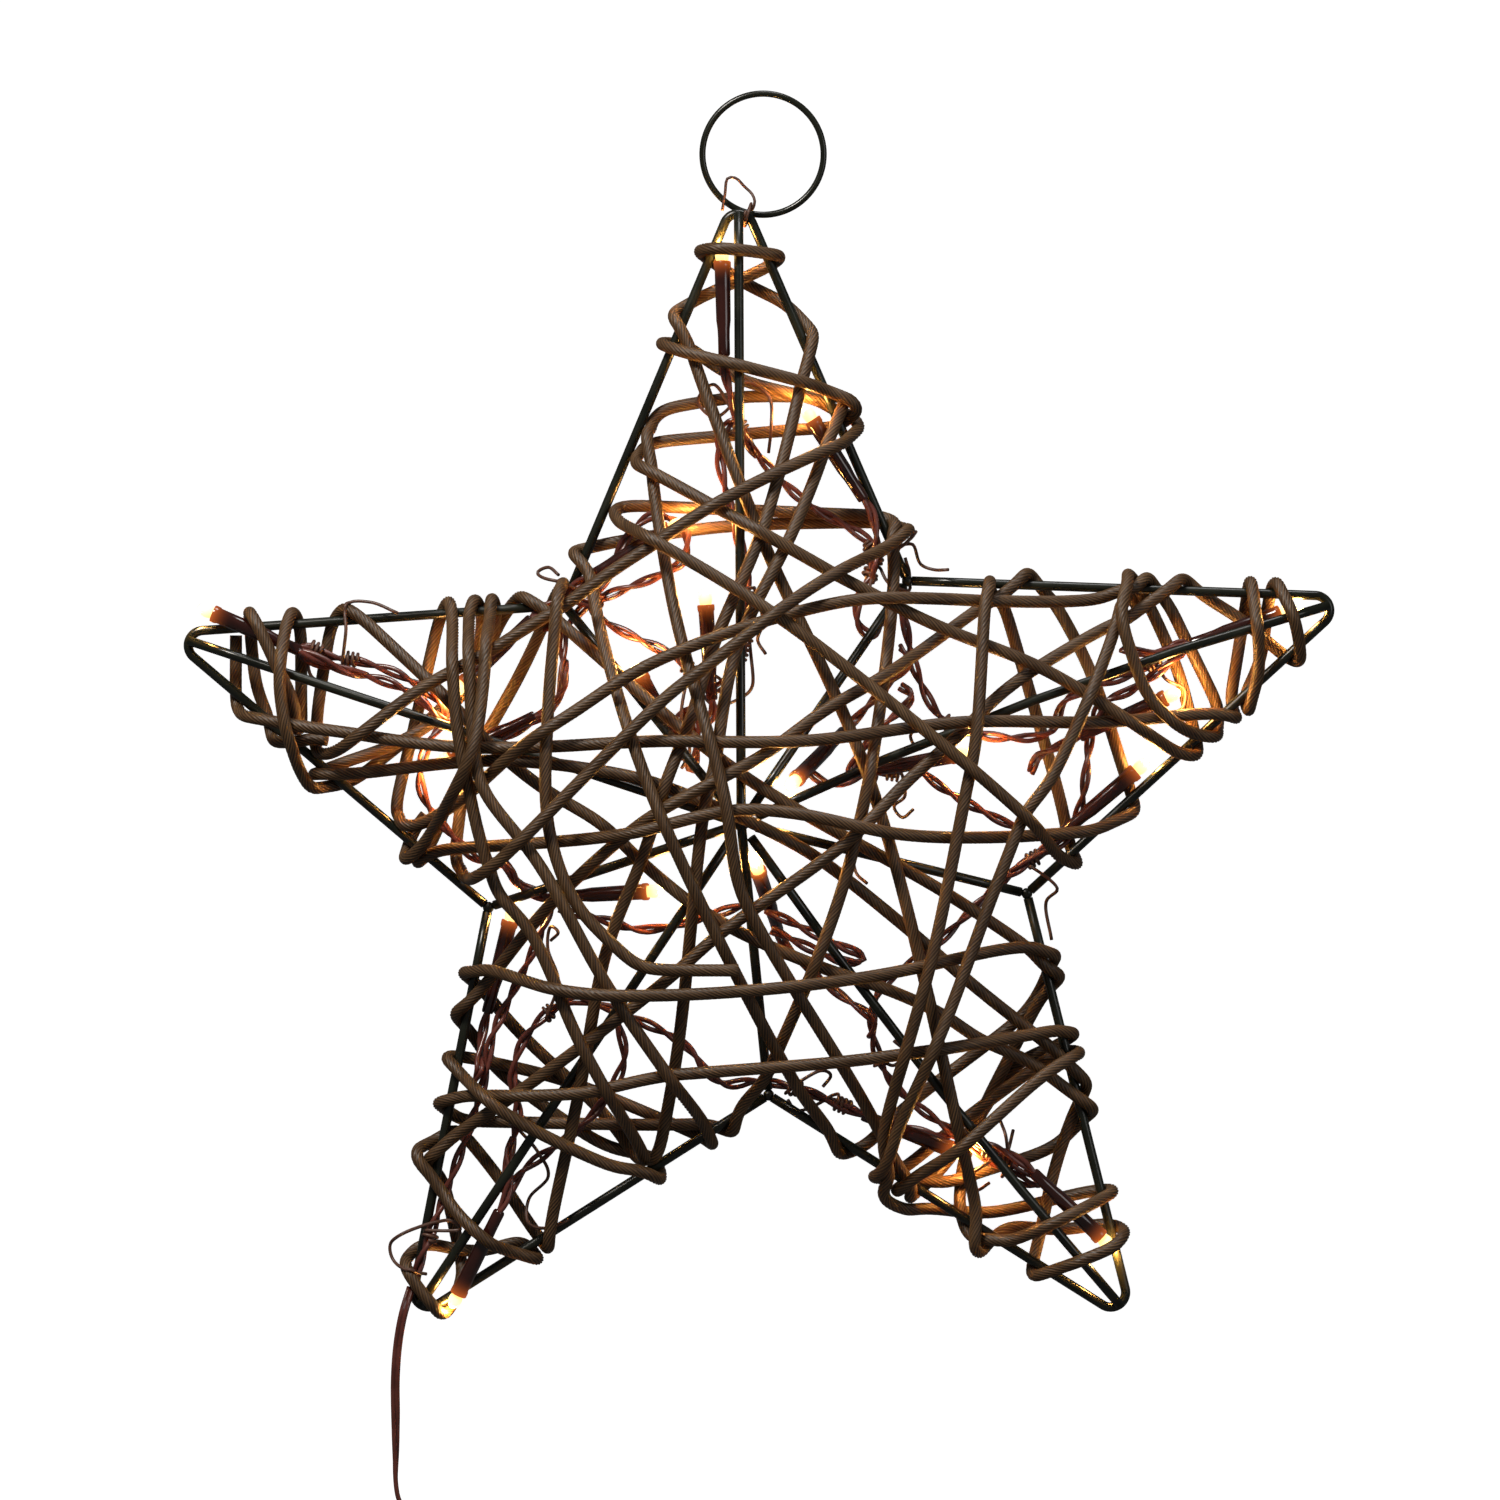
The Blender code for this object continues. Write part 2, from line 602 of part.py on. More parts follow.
def moved_apart(lines, radius, blocks, rounds, eased_moves):
    """The lines moved just enough for their tubes to clear each other and the blocks."""
    counts = [len(line) for line in lines]
    points = np.vstack(lines)
    start = points.copy()
    before, share, owner, along = samples_on(lines)
    share = share[:, None]
    reach = 2 * radius
    for number in range(rounds):
        places = (1 - share) * points[before] + share * points[before + 1]
        own = near_pairs(places, places, reach * LOOKS_ROUND)
        first, second = own[own[:, 0] < own[:, 1]].T
        same = (owner[first] == owner[second]) & (along[second] - along[first] < LOOKS_ROUND * reach)
        first, second = first[~same], second[~same]
        mine, held = near_pairs(places, blocks, reach * LOOKS_ROUND).T
        for repeat in range(PUSHES):
            places = (1 - share) * points[before] + share * points[before + 1]
            push = np.zeros_like(places)
            apart = places[first] - places[second]
            distance = np.maximum(np.linalg.norm(apart, axis=1), 1e-6)
            short = np.maximum(reach - distance, 0)[:, None] * apart / distance[:, None] / 2
            np.add.at(push, first, short)
            np.add.at(push, second, -short)
            apart = places[mine] - blocks[held, :3]
            distance = np.maximum(np.linalg.norm(apart, axis=1), 1e-6)
            short = np.maximum(radius + blocks[held, 3] - distance, 0)
            np.add.at(push, mine, short[:, None] * apart / distance[:, None])
            moves = np.zeros_like(points)
            np.add.at(moves, before, 0.5 * (1 - share) * push)
            np.add.at(moves, before + 1, 0.5 * share * push)
            points = points + moves
            if eased_moves and number < rounds - 1:
                points = start + eased(points - start, counts)
    return np.split(points, np.cumsum(counts)[:-1])


def eased(moves, counts):
    """Moves shared out a little along each line, so that no line gets a kink."""
    shared = []
    for part in np.split(moves, np.cumsum(counts)[:-1]):
        ends = np.vstack([part[:1], part, part[-1:]])
        shared.append(0.25 * ends[:-2] + 0.5 * ends[1:-1] + 0.25 * ends[2:])
    return np.vstack(shared)


def as_solids(lines, radius, blocks):
    """The lines with few points, each straight stretch still clear of the others and of the blocks."""
    return moved_apart([thinned(line) for line in lines], radius, blocks, 5, False)


# Light string


def fitted_axis(start, along, outline, ribs):
    """A holder's axis from a start place, raised over the outline and then lowered under the ribs."""
    radius = HOLDER_MOUTH_DIAMETER / 2 + GAP
    axis = np.array([start, start + along * HOLDER_LENGTH])
    lamp_room = np.array([-along * LAMP_PROUD, [0.0, 0.0, 0.0]])
    line = evenly(axis + lamp_room)
    lift = (clear_height(line[:, :2], radius, outline, 1) - line[:, 2]).max()
    axis[:, 2] += max(lift, 0.0)
    line = evenly(axis + lamp_room)
    drop = (clear_height(line[:, :2], radius, ribs, -1) + line[:, 2]).max()
    axis[:, 2] -= max(drop, 0.0)
    return axis


def room_round(axis, blocks):
    """How far a holder with its lamp stands from the nearest block."""
    own = holder_blocks([axis])
    apart = np.linalg.norm(own[:, None, :3] - blocks[None, :, :3], axis=2)
    return (apart - own[:, None, 3] - blocks[None, :, 3]).min()


def holder_axes(wires):
    """The mouth and the tail of each holder, in front of the outline and behind the ribs.

    Near a tip the two come together, so a holder that doesn't fit there is drawn back along its axis.
    """
    outline = np.vstack([as_blocks(line, WIRE_DIAMETER / 2) for name, line in wires.items() if "outline" in name])
    ribs = np.vstack([as_blocks(line, WIRE_DIAMETER / 2) for name, line in wires.items() if "rib" in name])
    frame = np.vstack([outline, ribs])
    axes = []
    for mouth, towards, mouth_share, tail_share in LIGHTS:
        mouth, towards = plan(mouth), plan(towards)
        start = np.array([*mouth, rise_at(mouth) * mouth_share])
        aim = np.array([*towards, rise_at(towards) * tail_share])
        along = unit(aim - start)
        axis = fitted_axis(start, along, outline, ribs)
        drawn_back = 0.0
        while room_round(axis, frame) < GAP / 2 and drawn_back < HOLDER_LENGTH:
            drawn_back += STEP
            axis = fitted_axis(start + along * drawn_back, along, outline, ribs)
        axes.append(axis)
    return axes


def holder_blocks(axes):
    """The room that each holder and its lamp take, as blocks along their axis."""
    blocks = []
    for mouth, tail in axes:
        tip = mouth + unit(mouth - tail) * LAMP_PROUD
        line = evenly(np.array([tip, tail]))
        radius = np.linspace(HOLDER_MOUTH_DIAMETER / 2, HOLDER_TAIL_DIAMETER / 2, len(line))
        blocks.append(np.column_stack([line, radius]))
    return np.vstack(blocks)


def light_cable_line(wires, holders):
    """The cable's centre line, slack in the room between the outline and the ribs."""
    line = smooth(plan(CABLE_ROUTE), STEP)
    height = np.array([0.4 * rise_at(place) for place in line])
    outline = np.vstack([as_blocks(wire, WIRE_DIAMETER / 2) for name, wire in wires.items() if "outline" in name])
    ribs = np.vstack([as_blocks(wire, WIRE_DIAMETER / 2) for name, wire in wires.items() if "rib" in name])
    radius = CABLE_DIAMETER / 2 + GAP
    over = clear_height(line, radius, outline, 1)
    under = -clear_height(line, radius, np.vstack([ribs, holders]), -1)
    for turn in range(30):
        height = np.minimum(np.maximum(height, over), under)
        height[1:-1] = (height[:-2] + height[1:-1] + height[2:]) / 3
    height = np.minimum(np.maximum(height, over), under)
    fixed = np.vstack([outline, ribs, holders])
    line = moved_apart([flat(line, height)], radius, fixed, 4, True)
    return as_solids(line, radius, fixed)[0]


# Winding


def turn_round(front, outside, back):
    """A turn round the outline wire, from one pass's end, out past the wire, to the next pass's start."""
    angles = np.linspace(0, math.pi, 16)[1:-1, None]
    share = (1 - np.cos(angles)) / 2
    inner = front + (back - front) * share
    outer = plan(outside)
    if len(outer) > 1:
        outer = smooth(outer)
    stops = np.linspace(0, 1, len(outer))
    outer = np.column_stack([np.interp(share[:, 0], stops, column) for column in outer.T])
    places = inner[:, :2] + (outer - inner[:, :2]) * np.sin(angles)
    return np.column_stack([places, inner[:, 2]])


def lay_strands(fixed):
    """Every strand's centre line, its front passes laid on each other in their order."""
    radius = (STRAND_DIAMETER + LAY_GAP) / 2
    rests = radius + WIRE_DIAMETER / 2
    passes = []
    for name, route in STRANDS.items():
        layers = iter(FRONT_LAYERS[name])
        for number, (kind, *points) in enumerate(route):
            if kind != "round":
                passes.append((next(layers) if kind == "front" else 0, name, number, kind, points))
    blocks, laid = fixed, {}
    for _, name, number, kind, points in sorted(passes):
        side = 1 if kind == "front" else -1
        line = smooth(plan(points))
        least = clear_height(line, radius, blocks, side)
        for end in (0, -1):
            stands = rests + (rise_at(line[end]) if kind == "front" else 0.0)
            least[end] = max(least[end], stands)
        line = flat(line, side * pulled_tight(length_along(line), least))
        laid[name, number] = line
        blocks = np.vstack([blocks, as_blocks(line, radius)])
    lines = []
    for name, route in STRANDS.items():
        line = []
        for number, (kind, *points) in enumerate(route):
            if kind == "round":
                line.append(turn_round(laid[name, number - 1][-1], points, laid[name, number + 1][0]))
            else:
                line.append(laid[name, number])
        lines.append(evenly(np.vstack(line)))
    return moved_apart(lines, radius, fixed, 4, True)


# Objects


def material(look):
    """A Principled surface, made once for each look."""
    name, colour, roughness, metallic = look
    if name in bpy.data.materials:
        return bpy.data.materials[name]
    surface = bpy.data.materials.new(name)
    surface.use_nodes = True
    shader = surface.node_tree.nodes["Principled BSDF"]
    shader.inputs["Base Color"].default_value = (*colour, 1.0)
    shader.inputs["Roughness"].default_value = roughness
    shader.inputs["Metallic"].default_value = metallic
    return surface


def add(name, data, group, look=None):
    """A new object in the star's group, hung from its empty."""
    piece = bpy.data.objects.new(name, data)
    group["parts"].objects.link(piece)
    piece.parent = group["star"]
    if look:
        data.materials.append(material(look))
    return piece


def tube(name, line, diameter, sides, look, group, closed=False):
    """A round wire along a line of places (across, up, forward)."""
    curve = bpy.data.curves.new(name, "CURVE")
    curve.dimensions = "3D"
    curve.bevel_depth = diameter / 2
    curve.bevel_resolution = sides // 2 - 2
    curve.use_fill_caps = not closed
    spline = curve.splines.new("POLY")
    spline.points.add(len(line) - 1)
    for point, (across, up, forward) in zip(spline.points, line):
        point.co = (across, -forward, up, 1.0)
    spline.use_cyclic_u = closed
    spline.use_smooth = True
    return add(name, curve, group, look)


def turned_mesh(name, profile):
    """The half section of a turned piece, along its own +Z."""
    mesh = bpy.data.meshes.new(name)
    edges = [(k, k + 1) for k in range(len(profile) - 1)]
    mesh.from_pydata([(radius, 0.0, height) for radius, height in profile], edges, [])
    return mesh


def turned(name, mesh, steps, group):
    piece = add(name, mesh, group)
    screw = piece.modifiers.new("turn", "SCREW")
    screw.axis = "Z"
    screw.angle = math.tau
    screw.steps = steps
    screw.render_steps = steps
    screw.use_merge_vertices = True
    screw.merge_threshold = 0.00001
    screw.use_smooth_shade = True
    return piece


def holder_profile():
    """From the bottom of the socket, up to the mouth, over its rim and down the outside to the tail."""
    mouth, tail = HOLDER_MOUTH_DIAMETER / 2, HOLDER_TAIL_DIAMETER / 2
    socket = LAMP_DIAMETER / 2 + GAP
    shoulder = HOLDER_LENGTH * 0.55
    return [
        (0.0, -SOCKET_DEPTH),
        (socket, -SOCKET_DEPTH),
        (mouth - HOLDER_WALL, 0.0),
        (mouth, 0.0),
        (mouth, -HOLDER_WALL * 3),
        (between(0.5, 0, 1, mouth, tail), -shoulder),
        (tail, -HOLDER_LENGTH * 0.7),
        (tail, -HOLDER_LENGTH),
        (0.0, -HOLDER_LENGTH),
    ]


def lamp_profile():
    """From the lamp's tip down its glass to its base in the socket."""
    radius = LAMP_DIAMETER / 2
    return [
        (0.0, LAMP_PROUD),
        (radius * 0.55, LAMP_PROUD - radius * 0.5),
        (radius, LAMP_PROUD - radius * 1.6),
        (radius, GAP - SOCKET_DEPTH),
        (0.0, GAP - SOCKET_DEPTH),
    ]


def add_lights(axes, group):
    holder_mesh = turned_mesh("holder", holder_profile())
    holder_mesh.materials.append(material(HOLDER_PLASTIC))
    lamp_mesh = turned_mesh("lamp", lamp_profile())
    lamp_mesh.materials.append(material(LAMP_GLASS))
    for number, (mouth, tail) in enumerate(axes, 1):
        across, up, forward = mouth
        aim = Vector((mouth - tail)[[0, 2, 1]] * (1, -1, 1))
        for name, mesh in (("lamp_holder", holder_mesh), ("lamp", lamp_mesh)):
            piece = turned(f"{name}_{number:02d}", mesh, 6, group)
            piece.location = (across, -forward, up)
            piece.rotation_mode = "QUATERNION"
            piece.rotation_quaternion = aim.to_track_quat("Z", "Y")


def lead_line(start):
    """The lead's line, from the cable's first place, out over the tip and down to the coil."""
    route = plan(LEAD_ROUTE)
    line = smooth(np.vstack([start[:2], route[1:]]), LEAD_DIAMETER * 3)
    return flat(line, start[2])


def coil_centre(lead_end):
    """The middle of the coil, whose top is a gap below the lead's end."""
    outer = COIL_RADIUS + COIL_THICKNESS / 2
    drop = math.sqrt(outer**2 - (COIL_ASIDE - LEAD_DIAMETER / 2) ** 2) + GAP
    return lead_end + np.array([COIL_ASIDE, -drop, 0.0])


def add_coil(centre, group):
    """The wound spare length, as one turned ring that hangs edge down."""
    angles = np.linspace(0, math.tau, 24, endpoint=False)
    ring = centre + COIL_RADIUS * np.column_stack([np.cos(angles), np.sin(angles), 0 * angles])
    return tube("lead_coil", ring, COIL_THICKNESS, 8, CABLE_COAT, group, closed=True)


def box_mesh(name, size, middle, taper=1.0):
    """A box, narrowed towards its top."""
    mesh = bpy.data.meshes.new(name)
    shape = bmesh.new()
    corners = bmesh.ops.create_cube(shape, size=1.0)["verts"]
    bmesh.ops.scale(shape, verts=[v for v in corners if v.co.z > 0], vec=(taper, taper, 1))
    bmesh.ops.scale(shape, verts=corners, vec=size)
    bmesh.ops.translate(shape, verts=corners, vec=middle)
    shape.to_mesh(mesh)
    shape.free()
    return mesh


def cone_mesh(name, low_radius, high_radius, length, middle):
    mesh = bpy.data.meshes.new(name)
    shape = bmesh.new()
    made = bmesh.ops.create_cone(
        shape, cap_ends=True, segments=12, radius1=low_radius, radius2=high_radius, depth=length
    )
    bmesh.ops.translate(shape, verts=made["verts"], vec=middle)
    shape.to_mesh(mesh)
    shape.free()
    return mesh


def add_plug(centre, group):
    """A flat two-blade plug that hangs on the cord's last stretch, beside the coil."""
    sink = 0.002
    body_top = -RELIEF_LENGTH
    body_middle = (0, 0, body_top - PLUG_LENGTH / 2)
    mesh = box_mesh("plug", (PLUG_WIDTH, PLUG_THICKNESS, PLUG_LENGTH), body_middle, 0.72)
    plug = add("plug", mesh, group, PLUG_PLASTIC)
    round_edges = plug.modifiers.new("round_edges", "BEVEL")
    round_edges.width = PLUG_THICKNESS * 0.16
    round_edges.segments = 2
    relief_middle = (0, 0, body_top + (RELIEF_LENGTH - sink) / 2)
    joined = [
        cone_mesh("relief", LEAD_DIAMETER, LEAD_DIAMETER * 0.75, RELIEF_LENGTH + sink, relief_middle)
    ]
    blade_length = BLADE_LENGTH + sink
    blade_middle = body_top - PLUG_LENGTH + sink - blade_length / 2
    for side in (-1, 1):
        size = (BLADE_THICKNESS, BLADE_WIDTH, blade_length)
        middle = (side * BLADE_SPACING / 2, 0, blade_middle)
        joined.append(box_mesh(f"blade_{side}", size, middle))
    outer = COIL_RADIUS + COIL_THICKNESS / 2
    drop = math.sqrt(outer**2 - (COIL_RADIUS - LEAD_DIAMETER * 0.75) ** 2) + GAP
    for mesh in joined:
        piece = bpy.data.objects.new(mesh.name, mesh)
        group["cutters"].objects.link(piece)
        piece.hide_render = True
        piece.display_type = "WIRE"
        piece.parent = plug
        union = plug.modifiers.new("join_" + mesh.name, "BOOLEAN")
        union.operation = "UNION"
        union.object = piece
    plug.location = (centre[0] + COIL_RADIUS, -centre[2], centre[1] - drop)


def new_group():
    """Empty collections, and the star's own empty, which puts the hanging ring's inside top at the origin."""
    for piece in list(bpy.data.objects):
        bpy.data.objects.remove(piece, do_unlink=True)
    group = {}
    for key, name in (("parts", "lighted_star"), ("cutters", "star_cutters")):
        group[key] = bpy.data.collections.new(name)
        bpy.context.scene.collection.children.link(group[key])
    ring, _ = ring_places()
    star = bpy.data.objects.new("star_plane", None)
    star.location = (-ring[0], ring[2], -(ring[1] + RING_RADIUS - RING_WIRE_DIAMETER / 2))
    group["parts"].objects.link(star)
    group["star"] = star
    return group


def build():
    group = new_group()
    wires = frame_wires()
    for name, line in wires.items():
        tube(name, line, WIRE_DIAMETER, 6, STEEL, group)
    tube("hanging_ring", ring_line(), RING_WIRE_DIAMETER, 6, STEEL, group, closed=True)
    tie = tie_line()
    tube("ring_tie", thinned(tie, TIE_DIAMETER / 4), TIE_DIAMETER, 4, CABLE_COAT, group)

    axes = holder_axes(wires)
    add_lights(axes, group)
    holders = holder_blocks(axes)
    cable = light_cable_line(wires, holders)
    tube("light_cable", cable, CABLE_DIAMETER, 4, CABLE_COAT, group)

    lead = lead_line(cable[0])
    lead[0] += unit(lead[1] - lead[0]) * GAP
    tube("supply_lead", lead, LEAD_DIAMETER, 8, CABLE_COAT, group)
    centre = coil_centre(lead[-1])
    add_coil(centre, group)
    add_plug(centre, group)

    ring = np.vstack([ring_line(), ring_line()[:1]])
    fixed = [as_blocks(line, WIRE_DIAMETER / 2) for line in wires.values()]
    fixed += [as_blocks(ring, RING_WIRE_DIAMETER / 2), as_blocks(tie, TIE_DIAMETER / 2), holders]
    fixed += [as_blocks(line, CABLE_DIAMETER / 2) for line in (cable, lead)]
    fixed = np.vstack(fixed)
    clear = (STRAND_DIAMETER + LAY_GAP) / 2
    strands = as_solids(lay_strands(fixed), clear, fixed)
    for name, line in zip(STRANDS, strands):
        tube("rattan_strand_" + name, line, STRAND_DIAMETER, 6, RATTAN, group)


build()
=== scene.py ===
# %% [markdown]
# # A lighted star of wire and round rattan strand
#
# The real thing is a flat-backed star of welded wire, about 40 cm across. Three long strands of brown
# plastic rattan are wound over its front, round its edge and over its back, and a string of small warm
# lamps lies inside. It hangs from a wire ring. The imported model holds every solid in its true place, so
# this lesson loads it first and then lays finer pieces over those solids, in the same metres.

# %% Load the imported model
import math

import bpy
import numpy as np
from mathutils import Matrix, Vector


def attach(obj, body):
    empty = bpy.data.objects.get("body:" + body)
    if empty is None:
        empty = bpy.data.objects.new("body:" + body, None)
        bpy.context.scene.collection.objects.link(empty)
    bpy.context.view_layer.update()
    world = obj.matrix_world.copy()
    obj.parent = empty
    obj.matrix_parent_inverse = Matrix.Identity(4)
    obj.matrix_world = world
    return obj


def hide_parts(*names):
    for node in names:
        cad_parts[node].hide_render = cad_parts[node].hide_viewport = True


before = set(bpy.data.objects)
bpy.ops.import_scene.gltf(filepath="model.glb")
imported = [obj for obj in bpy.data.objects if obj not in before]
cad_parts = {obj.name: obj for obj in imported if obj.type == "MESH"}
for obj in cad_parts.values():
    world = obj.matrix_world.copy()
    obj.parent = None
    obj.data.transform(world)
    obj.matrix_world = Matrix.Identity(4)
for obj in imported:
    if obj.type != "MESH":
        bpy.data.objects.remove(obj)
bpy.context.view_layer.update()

scene = bpy.context.scene

# %% [markdown]
# ## Places
#
# The star was measured as a plan, in units of about a millimetre across and up from its centre, with a
# third number for how far forward a thing stands. Blender wants metres from the hanging ring's inside
# top, with the front towards -Y. One small function does that turn for every piece that follows.

# %% Sizes of the real star
TIP_REACH = 0.221
HUB_RISE = 0.035
WIRE_DIAMETER = 0.0031
TIP_BEND_RADIUS = 0.0055
RING_WIRE_DIAMETER = 0.0024
RING_RADIUS = 0.0223
TIE_DIAMETER = 0.0011
TIE_ASIDE = 0.0002
TIE_PITCH = 0.0011
TIE_TURNS = (0.4, 2.3)
STRAND_DIAMETER = 0.0046
CABLE_DIAMETER = 0.0034
HOLDER_LENGTH = 0.035
HOLDER_MOUTH_DIAMETER = 0.0064
HOLDER_TAIL_DIAMETER = 0.0044
HOLDER_WALL = 0.0007
SOCKET_DEPTH = 0.009
LAMP_DIAMETER = 0.0042
LAMP_PROUD = 0.0045
LEAD_DIAMETER = 0.0034
COIL_RADIUS = 0.019
COIL_THICKNESS = 0.0135
COIL_ASIDE = 0.014
GAP = 0.0003
LAY_GAP = 0.0006
STEP = 0.0016
LOOKS_ROUND = 1.5
PUSHES = 14
PLAN = TIP_REACH / 221


# %% [markdown]
# ## The measured star
#
# These places are listed below. They give the frame's corners, where each strand runs and turns, the
# order in which the front passes cover each other, the cable's route and the lamps.

# %% Places of the frame, strands, cable and lamps
TIPS = {
    "top": (-6, 220),
    "right": (211, 76),
    "lower_right": (134, -181),
    "lower_left": (-123, -181),
    "left": (-208, 63),
}
CORNERS = {
    "upper_right": (56, 85),
    "lower_right": (100, -30),
    "bottom": (5, -104),
    "lower_left": (-98, -35),
    "upper_left": (-70, 76),
}
HUB = (-5, -4)
RIB_BOW = {"right": -5, "lower_right": 3}
RING_CENTRE = (3, 242)

